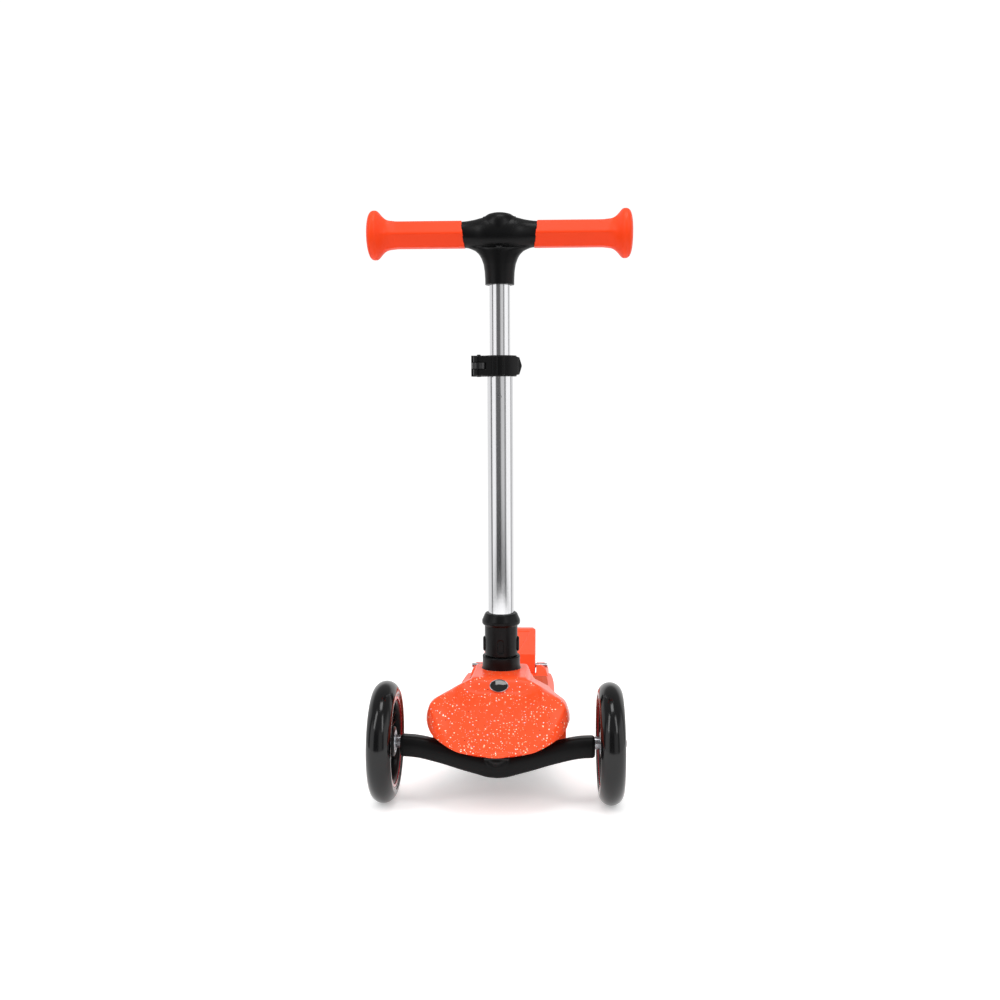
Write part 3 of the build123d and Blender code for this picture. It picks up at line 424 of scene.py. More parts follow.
def glitter_abs():
    """ABS moulded with metallised film flakes: the same orange, broken by scattered sparks of pale colour."""
    made, tree, shader, place, colour_now = moulded_finish("glitter_abs", colours().shell, 0.06, (0.25, 0.36),
                                                           1.4, 0.35, {"Specular IOR Level": 0.22})
    patches = noise(tree, place, 1 / (16 * MM), 2.0)
    height = add_node(tree, "ShaderNodeSeparateXYZ", inputs={0: place}).outputs["Z"]
    # the flakes lie denser low down on the hood
    low_down = ranged(tree, height, (0.34, -0.22), (58 * MM, 114 * MM))
    share = maths(tree, "ADD", patches, low_down)
    # two sizes of flake; each cell of the pattern holds at most one, and only some of the cells are lit
    metal_now = None
    for pitch, radius, chance in ((sizes().flake_pitch, sizes().flake, 0.8), (1.7 * MM, 0.3 * MM, 0.6)):
        cells = add_node(tree, "ShaderNodeTexVoronoi",
                         inputs={"Vector": place, "Scale": 1 / pitch, "Randomness": 1.0})
        inside = maths(tree, "LESS_THAN", cells.outputs["Distance"], radius / pitch)
        dice = add_node(tree, "ShaderNodeSeparateColor", inputs={0: cells.outputs["Color"]})
        limit = maths(tree, "MULTIPLY", share, chance)
        lit = maths(tree, "LESS_THAN", dice.outputs[0], limit)
        flake = maths(tree, "MULTIPLY", inside, lit)
        film = add_node(tree, "ShaderNodeValToRGB", inputs={0: dice.outputs[1]})
        film.color_ramp.interpolation = "CONSTANT"
        film.color_ramp.elements[0].color = to_linear("#F7F1D8")
        film.color_ramp.elements[1].color = to_linear("#7A2E22")
        film.color_ramp.elements[1].position = 0.9
        for at, code in ((0.34, "#DDEFC9"), (0.55, "#F4E9EE"), (0.66, "#C9DCEC"), (0.76, "#FFEFC9")):
            film.color_ramp.elements.new(at).color = to_linear(code)
        colour_now = mixed(tree, flake, colour_now, film.outputs[0])
        metal = maths(tree, "MULTIPLY", flake, 0.15)
        metal_now = metal if metal_now is None else maths(tree, "MAXIMUM", metal, metal_now)
    tree.links.new(colour_now, shader.inputs["Base Color"])
    tree.links.new(metal_now, shader.inputs["Metallic"])
    return made


def grip_rubber():
    """Thermoplastic rubber, moulded satin: softer sheen than the shells and a slightly deeper orange."""
    return moulded_finish("grip_rubber", colours().grip, 0.05, (0.36, 0.46), 0.8, 0.3,
                          {"Specular IOR Level": 0.2})[0]


def black_nylon():
    """Glass-filled nylon from a fine-sparked mould: near black, satin, with broad soft highlights."""
    return moulded_finish("black_nylon", colours().black, 0.12, (0.3, 0.4), 0.5, 0.4,
                          {"Specular IOR Level": 0.16})[0]


def beam_nylon():
    """The same nylon in the axle beam, a little duller, with streaks where the melt flowed outwards."""
    made, tree, shader, place, _ = moulded_finish("beam_nylon", darker(colours().black, 0.9), 0.12,
                                                  (0.38, 0.5),
                                                  0.6, 0.45, {"Specular IOR Level": 0.16})
    streaks = noise(tree, stretched(tree, place, (60, 5, 5)), 1.0, 3.0)
    tree.links.new(ranged(tree, streaks, (0.36, 0.5)), shader.inputs["Roughness"])
    return made


def mat_rubber():
    """Rubber foot mat, moulded in colour: matt burnt orange with a powdery grain and dusty high spots."""
    made, tree, shader, place, tint = moulded_finish("mat_rubber", to_linear("#C94A26"), 0.12, (0.62, 0.8),
                                                     0.7, 0.8, {"Specular IOR Level": 0.2})
    scuffs = noise(tree, place, 1 / (9 * MM), 6.0)
    dust = ranged(tree, scuffs, (0.0, 0.2), (0.55, 0.8))
    tree.links.new(mixed(tree, dust, tint, to_linear("#C98A70")), shader.inputs["Base Color"])
    return made


def metal_finish(name, base, rough, stretch, bump):
    """Shared build of the metals: lines of wear or drawing whose length is given along each axis in mm."""
    made, tree, shader, place = new_material(name, {"Metallic": 1.0})
    lines = noise(tree, stretched(tree, place, stretch), 1.0, 4.0)
    tint = mixed(tree, lines, darker(base, 0.9), darker(base, 1.06))
    tree.links.new(tint, shader.inputs["Base Color"])
    tree.links.new(ranged(tree, lines, rough), shader.inputs["Roughness"])
    relief = add_node(tree, "ShaderNodeBump", inputs={"Strength": bump, "Distance": 0.02 * MM,
                                                      "Height": lines})
    tree.links.new(relief.outputs[0], shader.inputs["Normal"])
    return made


def polished_tube():
    """Aluminium tube, drawn, polished and clear anodised: mirror bands with faint drawing lines lengthwise.
    The real lines are finer than can be seen, so they are drawn half a millimetre apart."""
    return metal_finish("polished_tube", colours().tube, (0.09, 0.16), (0.5, 0.5, 60), 0.12)


def powder_coat():
    """Die-cast aluminium under black powder coat: dull black with an orange-peel skin."""
    return moulded_finish("powder_coat", to_linear("#0E0E10"), 0.15, (0.45, 0.6), 0.9, 0.6,
                          {"Specular IOR Level": 0.2})[0]


def zinc_steel():
    """Steel fasteners, zinc plated: cool grey and half bright."""
    return metal_finish("zinc_steel", to_linear("#BFC1C6"), (0.2, 0.34), (1.5, 1.5, 1.5), 0.2)


def black_steel():
    """Steel nut covers, black oxide: dark, oily and slightly bright at the edges."""
    return moulded_finish("black_steel", to_linear("#101012"), 0.1, (0.22, 0.32), 0.7, 0.2,
                          {"Specular IOR Level": 0.6})[0]


def spring_steel():
    """Drawn spring wire: darker steel with lines along the wire."""
    return metal_finish("spring_steel", to_linear("#8E9095"), (0.22, 0.36), (0.6, 0.6, 0.6), 0.3)


def cast_urethane():
    """Polyurethane tyre, cast in a polished mould: deep black under a wet-looking clear surface."""
    return moulded_finish("cast_urethane", colours().tyre, 0.1, (0.1, 0.17), 6.0, 0.12,
                          {"Specular IOR Level": 0.4})[0]


def bumper_rubber():
    """Rubber steering bumpers: dark, dull and a little translucent at the edges."""
    return moulded_finish("bumper_rubber", to_linear("#2B2B2B"), 0.12, (0.55, 0.7), 0.8, 0.5,
                          {"Specular IOR Level": 0.4})[0]


def ring_lacquer():
    """Gloss lacquered ring between tyre and hub: wine red, bright where it catches light."""
    return moulded_finish("ring_lacquer", colours().ring, 0.08, (0.14, 0.22), 2.0, 0.1,
                          {"Specular IOR Level": 0.5, "Coat Weight": 0.4, "Coat Roughness": 0.06})[0]


def bright_rim():
    """Chromed metal edge of the plaque: cool mirror with fine buffing."""
    return metal_finish("bright_rim", to_linear("#DADBDD"), (0.08, 0.16), (0.8, 0.8, 0.8), 0.1)


def plaque_enamel():
    """Black enamel under a domed clear drop: almost black, with a tight highlight."""
    return moulded_finish("plaque_enamel", to_linear("#0A0A0C"), 0.2, (0.05, 0.09), 3.0, 0.05,
                          {"Specular IOR Level": 0.5, "Coat Weight": 0.6, "Coat Roughness": 0.03})[0]


def pale_nylon():
    """Unfilled nylon bushes and liner: milky off-white, waxy."""
    return moulded_finish("pale_nylon", to_linear("#DAD7CD"), 0.05, (0.4, 0.5), 1.0, 0.2,
                          {"Subsurface Weight": 0.1, "Subsurface Scale": 1.5 * MM})[0]


# --- deck and hood ------------------------------------------------------------------------------------
# Half of the outline that the hood and the deck share, from the nose to the tail (half-width, y).
SIDE_OUTLINE = [(0, -278), (20, -276), (38, -270), (57, -252), (69, -229), (72.5, -206), (70, -180),
                (62, -145), (57, -105), (56, -60), (59, 10), (60, 80), (57.5, 150), (55, 180)]
HOOD_BACK = -55.0
# Side view of the hood down its middle and along its flanks (y, z); the edge of its wings and the foot of its
# pedestal seen from the front (x, z); and its rim line (y, z).
CROWN = [(-280, 60), (-262, 70), (-240, 82), (-205, 95.5), (-190, 102), (-178.5, 116), (-173, 117.4),
         (-144.4, 118), (-99.6, 119.7), (-72, 84), (-55, 72)]
FLANK = [(-280, 60), (-262, 70), (-250, 78.5), (-238, 88), (-226, 97.5), (-214, 104.8), (-195, 110),
         (-170, 114), (-144.4, 116), (-99.6, 116), (-72, 84), (-55, 72)]
WING_EDGE = [(0, 200), (55, 124), (60, 108), (65, 101.5), (67.5, 98.5), (69.5, 95.5), (71, 92.5), (76, 80)]
PEDESTAL = [(0, 150), (25, 142), (26.8, 122), (28.5, 117.5), (32, 109), (40, 92), (80, 0)]
WING_ROOT, WING_OUT_FALL, WING_BACK_FALL = Vector((31, -144, 111)), 0.539, 0.126
RIM = [(-279, 60.2), (-275, 60.5), (-270, 62), (-262, 65), (-252, 68.5), (-240, 72), (-229, 77), (-222, 80.4),
       (-182, 80.4), (-179, 66.2), (-50, 66.2)]
TONGUE_HALF, TONGUE_DEEP = 12.0, 2.4
FACE_LOW, FACE_HIGH = (-189.5, 102.0), (-178.5, 116.5)  # steep face under the plaque (y, z)


def plan_loop(high_y, count, corner=5.0):
    """The shared outline as a closed loop, anticlockwise from above, cut square across the back."""
    half = [p for p in smooth_path(SIDE_OUTLINE) if p.y < high_y - corner]
    wide = half[-1].x
    back = eased([half[-1], Vector((wide, high_y)), Vector((0, high_y))], corner, closed=False)
    right = half + back[1:]
    left = [Vector((-p.x, p.y)) for p in reversed(right[1:-1])]
    return evenly(right + left, count)


def inward(loop, k):
    """The unit direction from a loop point to the inside."""
    along = (loop[(k + 1) % len(loop)] - loop[k - 1]).normalized()
    return Vector((-along.y, along.x))


def hood_height(x, y):
    """Height of the hood's upper surface: a middle bed, raised flanks, flat wings and the stem's pedestal."""
    side = abs(x)
    middle_z, flank_z = curve_at(CROWN, y), curve_at(FLANK, y)
    top = middle_z + (flank_z - middle_z) * smooth_step(20, 58, side)
    wing = WING_ROOT.z - WING_OUT_FALL * (side - WING_ROOT.x) - WING_BACK_FALL * (y - WING_ROOT.y)
    wing = smooth_min(wing, curve_at(WING_EDGE, side), 4)
    pedestal = curve_at(PEDESTAL, side)
    top = smooth_min(top, -smooth_min(-wing, -pedestal, 1.0), 2.5)
    # narrow valley along the foot of the pedestal
    top -= 1.3 * exp(-((side - 31.8) / 1.3) ** 2) * smooth_step(-176, -160, y)
    # the middle panel is let in between two creases that run forward from beside the plaque
    ahead = smooth_step(-188, -200, y) * smooth_step(-277, -255, y)
    depth = sizes().crease / MM
    crease_x = 16 + 0.05 * max(0, -190 - y)
    top -= depth * ahead * (1 - smooth_step(crease_x - 1.2, crease_x + 1.2, side))
    # a second, fainter pair further out
    outer_x = 40 + 0.1 * max(0, -190 - y)
    top -= 0.6 * depth * ahead * exp(-((side - outer_x) / 2.4) ** 2)
    return top


def hood_mesh():
    """The hood's skin: a pole at the stem, rings out to the top edge, then a leaning side wall to the rim."""
    around, rings_out, edge = 360, 110, 1.6
    loop = plan_loop(HOOD_BACK, around)
    stem_foot = Vector((0, STEM_BASE.y))
    flare = sizes().wall_flare / MM
    top_edge, rim, near = [], [], []
    for k, point in enumerate(loop):
        inside = inward(loop, k)
        lean = flare * smooth_step(-282, -240, point.y) + 1.2
        lean *= 1 - 0.6 * smooth_step(-80, HOOD_BACK, point.y)
        edge_point, near_point = point + inside * lean, point + inside * (lean + edge)
        tongue = TONGUE_DEEP * exp(-(point.x / TONGUE_HALF) ** 4) * smooth_step(-270, -276, point.y)
        rim.append(Vector((point.x, point.y, curve_at(RIM, point.y) - tongue)))
        top_edge.append(Vector((*edge_point, hood_height(*edge_point))))
        near.append(near_point)
    rings = []
    for r in range(rings_out):
        share = (r / (rings_out - 1)) ** 0.9
        ring = []
        for outer in near:
            start = stem_foot + (outer - stem_foot).normalized() * 15
            spot = start.lerp(outer, share)
            ring.append(Vector((*spot, hood_height(*spot))))
        rings.append(ring)
    last = rings[-1]
    wall_start = [corner + (low - corner).normalized() * edge for corner, low in zip(top_edge, rim)]
    for t in (0.25, 0.5, 0.75, 1.0):
        rings.append([a * (1 - t) ** 2 + c * 2 * t * (1 - t) + b * t ** 2
                      for a, c, b in zip(last, top_edge, wall_start)])
    for k in range(1, 9):
        t = k / 8
        ring = []
        for i, (high, low) in enumerate(zip(wall_start, rim)):
            bulge = inward(loop, i) * (-0.8 * sin(pi * t))
            ring.append(high.lerp(low, t) + Vector((bulge.x, bulge.y, 0)))
        rings.append(ring)
    skin = lofted("hood", rings, capped=False, outward=False)
    skin.flip_normals()
    return evaluated(skin, ("SOLIDIFY", {"thickness": 2.4 * MM, "offset": -1.0}))


def plaque_meshes():
    """A plain oval plaque: a bright rim and a domed dark field."""
    low, high = span("nose_plaque")
    half_x, half_y = (high.x - low.x) / 2, 7.6
    slope = atan2(FACE_HIGH[1] - FACE_LOW[1], FACE_HIGH[0] - FACE_LOW[0])
    face_middle = (0, (FACE_LOW[0] + FACE_HIGH[0]) / 2, (FACE_LOW[1] + FACE_HIGH[1]) / 2)
    place = Matrix.Translation(face_middle) @ Matrix.Rotation(slope, 4, "X")
    turn = [2 * pi * i / 96 for i in range(96)]

    def oval(inset, height):
        return [((half_x - inset) * cos(a), (half_y - inset) * sin(a), height) for a in turn]

    rim = lofted("plaque_rim", [oval(0.1, -1.5), oval(0, 1.2), oval(0.25, 1.75), oval(0.6, 1.95),
                                oval(0.95, 1.75),
                                oval(1.15, 1.3), oval(1.15, -1.5)], place, wrapped=True)
    steps = 10
    dome = [oval(1.16 + (half_y - 1.2) * (k / steps),
                 1.35 + 0.55 * sin(pi / 2 * k / steps)) for k in range(steps)]
    field = lofted("plaque_field", [oval(1.16, -1.4)] + dome, place)
    return rim, field


def mat_mesh():
    """Foot mat: a thin plate with rounded corners and raised chevrons that stop short of its edge."""
    low, high = span("grip_mat")
    inset, plate, rib_tall = 8.0, 1.2, 0.8
    pitch = sizes().rib_pitch / MM
    halves = [(y, x - inset) for x, y in SIDE_OUTLINE if y > -110]

    def half(y):
        return curve_at(halves, y)

    right = [Vector((half(y), y)) for y in [low.y + (high.y - low.y) * k / 24 for k in range(25)]]
    corners = eased([Vector((0, low.y)), right[0], right[1]], 6, closed=False)
    tail = eased([right[-2], right[-1], Vector((0, high.y))], 6, closed=False)
    side = corners[:-1] + right[1:-1] + tail[1:]
    loop = evenly(side + [Vector((-p.x, p.y)) for p in reversed(side[1:-1])], 220)
    rings = []
    for out, z in ((0.0, 0.0), (0.0, plate - 0.5), (0.15, plate - 0.15), (0.5, plate)):
        rings.append([(*(p + inward(loop, k) * out), low.z + z) for k, p in enumerate(loop)])
    meshes = [lofted("mat_plate", rings)]
    rows = int((high.y - low.y - 24) / pitch)
    for row in range(rows + 1):
        y = low.y + 16 + row * pitch
        reach = half(y) - 6
        for side_x in (-1, 1):
            sections = []
            for k in range(21):
                x = 2.0 + (reach - 2.0) * k / 20
                end = min(1.0, sqrt(max(0.0, 1 - ((abs(k - 10) / 10) ** 8))) + 0.05)
                lift = 7 * (x / reach)
                sections.append([(side_x * x, y + lift - 5 + 1.7 * end * cos(a), low.z + plate - 0.1
                                  + (rib_tall + 0.1) * end * sin(a)) for a in [pi * i / 8 for i in range(9)]])
            meshes.append(lofted("rib", sections))
    return joined("foot_mat", meshes)


class SCOOTER_OT_hood(bpy.types.Operator):
    """Build the glitter hood over the steering and the plain oval plaque on it"""

    bl_idname = "scooter.hood"
    bl_label = "Hood and plaque"

    def execute(self, context):
        piece("hood", hood_mesh(), glitter_abs(), "deck", ["hood_cover"], sharp=40)
        rim, field = plaque_meshes()
        piece("plaque_rim", rim, bright_rim(), "deck", ["nose_plaque"])
        piece("plaque_field", field, plaque_enamel(), "deck")
        return {"FINISHED"}


class SCOOTER_OT_deck(bpy.types.Operator):
    """Build the deck, its foot mat and its underside"""

    bl_idname = "scooter.deck"
    bl_label = "Deck and foot mat"

    def execute(self, context):
        shell = melted(cad_copy("deck_shell"), 0.9, 4, 0.35)
        piece("deck", shell, shared(moulded_abs), "deck", ["deck_shell"], sharp=50)
        piece("foot_mat", mat_mesh(), mat_rubber(), "deck", ["grip_mat"])
        tray = melted(cad_copy("deck_tray"), 0.9, 2, 0.35)
        piece("deck_underside", tray, shared(black_nylon), "deck", ["deck_tray"], sharp=50)
        return {"FINISHED"}


class SCOOTER_OT_mudguard(bpy.types.Operator):
    """Build the mudguard that works as the brake"""

    bl_idname = "scooter.mudguard"
    bl_label = "Mudguard brake"

    def execute(self, context):
        guard = melted(cad_copy("brake_fender"), 0.6, 5, 0.4)
        piece("mudguard", guard, shared(moulded_abs), "brake", ["brake_fender"], sharp=50)
        dress(shared(moulded_abs), "brake_inlay")
        dress(shared(zinc_steel), "brake_plate", "brake_pin")
        dress(shared(spring_steel), "brake_spring")
        return {"FINISHED"}


# --- stem ---------------------------------------------------------------------------------------------
def collar_mesh():
    """Round collar at the foot of the stem, with a short flared skirt."""
    profile = eased([(12.1, 0.05), (21.8, 0.05), (21.6, 1.2), (20.6, 3.2), (20.35, 8), (20.5, 15.3),
                     (19.8, 16), (12.1, 16)], 0.7)
    return turned("collar", profile, STEM, 128)


class SCOOTER_OT_stem(bpy.types.Operator):
    """Build the collar, socket, buttons and tubes of the stem"""

    bl_idname = "scooter.stem"
    bl_label = "Stem"

    def execute(self, context):
        nylon = shared(black_nylon)
        piece("stem_foot", collar_mesh(), nylon, "deck", ["stem_collar"])
        socket = melted(cad_copy("socket_housing"), 0.4, 5, 0.5)
        piece("socket", socket, nylon, "stem", ["socket_housing"], sharp=50)
        dress(nylon, "button_left", "button_right")
        tube = shared(polished_tube)
        dress(tube, "outer_tube", "inner_tube")
        dress(shared(pale_nylon), "tube_liner")
        dress(nylon, "tube_plug")
        dress(shared(zinc_steel), "stem_spigot", "handlebar_core")
        dress(shared(spring_steel), "button_spring")
        return {"FINISHED"}


class SCOOTER_OT_clamp(bpy.types.Operator):
    """Build the height clamp and its quick-release lever"""

    bl_idname = "scooter.clamp"
    bl_label = "Height clamp"

    def execute(self, context):
        nylon = shared(black_nylon)
        collar = melted(cad_copy("clamp_collar"), 0.35, 4, 0.5)
        piece("height_clamp", collar, nylon, "stem", ["clamp_collar"], sharp=50)
        lever = melted(cad_copy("clamp_lever"), 0.3, 4, 0.5)
        piece("quick_lever", lever, nylon, "clamp_lever", ["clamp_lever"], sharp=50)
        dress(shared(black_steel), "clamp_bolt", "clamp_nut", "lever_pin")
        return {"FINISHED"}


# --- handlebar ----------------------------------------------------------------------------------------
TEE_DEEP = 1.05  # the joint is this much deeper than tall
END_SLANT = 0.12  # its ends lean out this much per unit of height


def oval_ring(half_x, half_y, height, steps=72):
    """An oval in the plane across the stem, at a height from the handlebar's axis."""
    return [(half_x * cos(2 * pi * i / steps), half_y * sin(2 * pi * i / steps),
             height) for i in range(steps)]


def tee_mesh():
    """The moulded joint of stem and bar: arms and neck melted into one, its ends cut on a slant."""
    arm = smooth_path([(0, -48), (13.3, -48), (13.35, -40), (13.9, -33), (15.3, -25), (17.2, -17.5), (18, -9),
                       (18, 9), (17.2, 17.5), (15.3, 25), (13.9, 33), (13.35, 40), (13.3, 48), (0, 48)][1:-1],
                       6)
    arm = [(0, -48)] + [tuple(p) for p in arm] + [(0, 48)]
    across = BAR @ Matrix.Scale(TEE_DEEP, 4, (0, 1, 0)) @ SIDEWAYS
    arms = turned("arms", arm, across, 96)
    dome = [oval_ring(r, r * 1.02, h) for r, h in ((18.3, 0), (18.2, 8), (17.6, 13), (15.6, 17), (12, 19.6),
                                                   (7, 21), (2, 21.4))]
    # the neck's width opens out into the arms (half-width, half-depth, height)
    flare = [(15.3, 15.4, -56), (15.4, 15.5, -46), (15.8, 15.8, -38.5), (16.9, 16.5, -31),
             (19.2, 17.4, -24.7),
             (21.6, 18.1, -20.6), (25.4, 18.3, -17), (30, 17, -14.9), (35, 13, -13.2), (36, 12, -8),
             (18.3, 18.6, -3)]
    neck = lofted("neck", [oval_ring(*ring) for ring in flare] + dome, BAR)
    body = melted(joined("tee", [arms, neck]), 0.55, 24)
    work = bmesh.new()
    work.from_mesh(body)
    cuts = [((side * (GRIP_START + 0.4), 0, 0), (side, 0, -END_SLANT)) for side in (-1, 1)]
    cuts.append(((0, 0, -52.0), (0, 0, -1)))
    for place, normal in cuts:
        centre = BAR @ Vector(place)
        facing = (BAR.to_3x3() @ Vector(normal)).normalized()
        cut = bmesh.ops.bisect_plane(work, geom=work.verts[:] + work.edges[:] + work.faces[:],
                                     plane_co=centre * MM,
                                     plane_no=facing, clear_outer=True)
        edges = [e for e in cut["geom_cut"] if isinstance(e, bmesh.types.BMEdge)]
        bmesh.ops.holes_fill(work, edges=edges, sides=0)
    work.to_mesh(body)
    work.free()
    return body


def cap_mesh(body):
    """V-shaped cap that wraps over the top of the joint: a grid cast onto it, lifted, and given an edge."""
    tree = BVHTree.FromPolygons([v.co.copy() for v in body.vertices], [p.vertices[:] for p in body.polygons])
    to_bar = BAR.inverted()
    lift = sizes().panel_lift / MM
    tip, rows, columns = -46.5, 120, 36
    half_width = [(-46.5, 0.3), (-45.5, 1.6), (-43, 2.8), (-38, 4.7), (-27, 8.1), (0, 13.5), (32, 16.2),
                  (60, 16.9), (90, 17.1)]
    rings = []
    for r in range(rows + 1):
        degrees = tip + (180 - 2 * tip) * r / rows  # from the front tip, over the top, to the back tip
        angle, half = radians(degrees), curve_at(half_width, min(degrees, 180 - degrees))
        ring = []
        for c in range(columns + 1):
            x = half * (2 * c / columns - 1)
            out = Vector((x, -cos(angle) * 40, sin(angle) * 40))
            start = BAR @ out
            aim = (BAR @ Vector((x, 0, 0)) - start).normalized()
            hit, normal, _, _ = tree.ray_cast(start * MM, aim)
            if hit is None:
                raise RuntimeError("the cap's grid misses the handlebar joint")
            ring.append(to_bar @ (hit / MM + normal * lift))
        rings.append(ring)
    skin = lofted("cap", rings, BAR, closed=False, capped=False, outward=False)
    thick = ("SOLIDIFY", {"thickness": 1.6 * MM, "offset": -1.0})
    edge = ("BEVEL", {"width": 0.4 * MM, "segments": 3, "limit_method": "ANGLE", "angle_limit": radians(50)})
    return evaluated(skin, thick, edge)


def grip_mesh(side):
    """A faceted grip that opens out into a round flange with a domed end."""
    facets = sizes().facets
    flat = 13.5
    stations = [(GRIP_START, flat), (45, flat), (60, flat), (85, flat), (106, flat), (111, 13.9),
                (115, 14.6), (118.5, 15.9), (121.5, 17.9), (124, 20.4), (126, 22.8), (127.8, 24.6),
                (129.6, 25.4),
                (131.6, 25.5), (133.4, 25.1), (135, 24), (136.3, 22.2), (137.3, 19.5), (138.1, 15.5),
                (138.6, 9), (GRIP_END, 4)]
    path = smooth_path([Vector(p) for p in stations], 5)
    around = 144
    rings = []
    for point in path:
        x, apothem = min(point.x, GRIP_END), point.y
        hexed = 1 - smooth_step(110, 126, x)
        ring = []
        for i in range(around):
            angle = 2 * pi * i / around
            within = (angle + pi / facets) % (2 * pi / facets) - pi / facets
            # distance to the flat side, with the corner rounded off
            corner = apothem / cos(abs(abs(within) - pi / facets))
            rounded = smooth_min(corner, apothem * 1.128, 0.5)
            radius = min(25.45, rounded * hexed + apothem * (1 - hexed))
            slant = END_SLANT * radius * sin(angle) * (1 - smooth_step(GRIP_START, 62, x))
            ring.append((side * (x + slant), -radius * cos(angle), radius * sin(angle)))
        rings.append(ring)
    return lofted("grip", rings, BAR)


class SCOOTER_OT_handlebar(bpy.types.Operator):
    """Build the handlebar joint, its V-shaped cap and the two grips"""

    bl_idname = "scooter.handlebar"
    bl_label = "Handlebar"

    def execute(self, context):
        nylon = shared(black_nylon)
        body = tee_mesh()
        cap = cap_mesh(body)
        piece("bar_joint", body, nylon, "handlebar", ["tee_joint"], sharp=45)
        piece("joint_cap", cap, nylon, "handlebar", ["tee_panel"], sharp=60)
        rubber = grip_rubber()
        for side, name in ((-1, "left"), (1, "right")):
            piece(f"handle_{name}", grip_mesh(side), rubber, "handlebar", [f"grip_{name}"],
                  sharp=60)
        return {"FINISHED"}


# --- front axle and wheels ----------------------------------------------------------------------------
BEAM_LOW = [(0, 26.6), (9, 27.4), (20, 30.2), (35, 34), (57, 40), (84, 45.4), (97, 46.2)]
BEAM_TALL = [(0, 24), (20, 22.5), (50, 21), (97, 20.4)]


def beam_mesh():
    """Axle beam: a shallow V with a soft ridge along its face, melted into the pivot's boss."""
    rings = []
    steps = 96
    for k in range(steps + 1):
        x = -BEAM_END + 2 * BEAM_END * k / steps
        out = abs(x)
        low, tall = curve_at(BEAM_LOW, out), curve_at(BEAM_TALL, out)
        y = -220 - 6 * (1 - smooth_step(0, 90, out))
        deep = 10.6
        end = smooth_step(BEAM_END, BEAM_END - 1.6, out)
        grow = 1 - 0.14 * (1 - end)
        section = eased([(-deep * 0.72, 0), (-deep, tall * 0.26), (-deep * 0.98, tall * 0.68),
                         (-deep * 0.62, tall),
                         (deep * 0.8, tall), (deep, tall * 0.75), (deep, tall * 0.22), (deep * 0.75, 0)], 3.4)
        ring = [(x, y + p.x * grow, low + tall / 2 + (p.y - tall / 2) * grow) for p in section]
        rings.append(ring)
    beam = lofted("beam", rings)
    boss = turned("boss", [(0, -17.1), (12.4, -17.1), (13, -16.4), (13, 16.4), (12.4, 17.1), (0, 17.1)],
                  PIVOT, 72)
    return melted(joined("beam", [beam, boss]), 0.7, 7, 0.6)


def tyre_mesh(seat, tread, shoulder, centre):
    """A cast tyre: straight seat, a bead line on each wall, bulged sides and a round tread."""
    half, steps = 12.0, 40
    side = [(seat, 10.3), (seat + 0.7, 10.9), (seat + 1.6, 11.1), (seat + 2.1, 10.85), (seat + 2.7, 11.3)]
    crown = tread - shoulder
    arc_r = (shoulder ** 2 + half ** 2) / (2 * shoulder)
    sweep = atan2(half, arc_r - shoulder)
    arc = []
    for k in range(steps + 1):
        angle = sweep * (1 - 2 * k / steps)
        radius = tread - arc_r + arc_r * cos(angle)
        offset = arc_r * sin(angle)
        arc.append((radius, offset))
    wall = [(seat + (crown - seat) * t, 11.3 + 0.7 * sin(pi / 2 * t)) for t in (0.5, 0.75)]
    outline = side + wall + arc + [(r, -o) for r, o in reversed(side + wall)]
    place = Matrix.Translation(centre) @ SIDEWAYS
    return turned("tyre", eased(outline, 0.5, 2), place, 180)


def hub_mesh(centre, rim, rim_in, boss, spokes, spoke_wide):
    """Hub: rolled rim, centre boss with a bearing seat, and tapered spokes melted into both."""
    place = Matrix.Translation(centre) @ SIDEWAYS
    outer = turned("rim", eased([(rim, -9.4), (rim - 1.2, -9.9), (rim_in, -8.6), (rim_in - 0.6, -5),
                                 (rim_in - 0.6, 5),
                                 (rim_in, 8.6), (rim - 1.2, 9.9), (rim, 9.4)], 0.8), place, 144)
    inner = turned("boss", eased([(11.1, -9.7), (boss - 1.4, -9.7), (boss, -8.4), (boss, 8.4),
                                  (boss - 1.4, 9.7), (11.1, 9.7)], 0.6), place, 96)
    arms = []
    for k in range(spokes):
        turn = place @ Matrix.Rotation(2 * pi * k / spokes, 4, "Z")
        for lean in (-1, 1):
            rings = []
            for s in range(9):
                t = s / 8
                radius = boss - 1.5 + (rim_in - boss + 2.4) * t
                wide = spoke_wide * (0.62 + 0.9 * (t - 0.45) ** 2)
                shift = lean * (0.6 + spoke_wide * 1.15 * t)
                deep = 6.4 - 2.4 * sin(pi * t)
                rings.append([(radius, shift + wide / 2 * p.x, deep * p.y)
                              for p in eased([(-1, -0.8), (-0.5, -1), (0.5, -1), (1, -0.8), (1, 0.8),
                                              (0.5, 1), (-0.5, 1), (-1, 0.8)], 0.3, 2)])
            arms.append(lofted("spoke", rings, turn))
    return melted(joined("hub", [outer, inner] + arms), 0.6, 3, 0.4)


def cap_nut_mesh():
    """Domed nut covers with a narrow flange, one at each end of the front axle."""
    high = span("cap_nuts")[1]
    start = span("tyre_front_right")[1].x - 1.7
    tall = high.x - start
    profile = [(0, 0), (6.2, 0), (6.2, 1.2), (5.9, 1.6), (5.9, tall - 2.6), (5.2, tall - 1.2),
               (3.6, tall - 0.4), (1.8, tall - 0.05), (0, tall)]
    meshes = []
    for side in (-1, 1):
        place = Matrix.Translation((side * start, FRONT_AXLE.y,
                                    FRONT_AXLE.z)) @ Matrix.Rotation(side * pi / 2, 4, "Y")
        meshes.append(turned("cover", [tuple(p) for p in eased(profile, 0.6, closed=False)], place, 64))
    return joined("nut_covers", meshes)


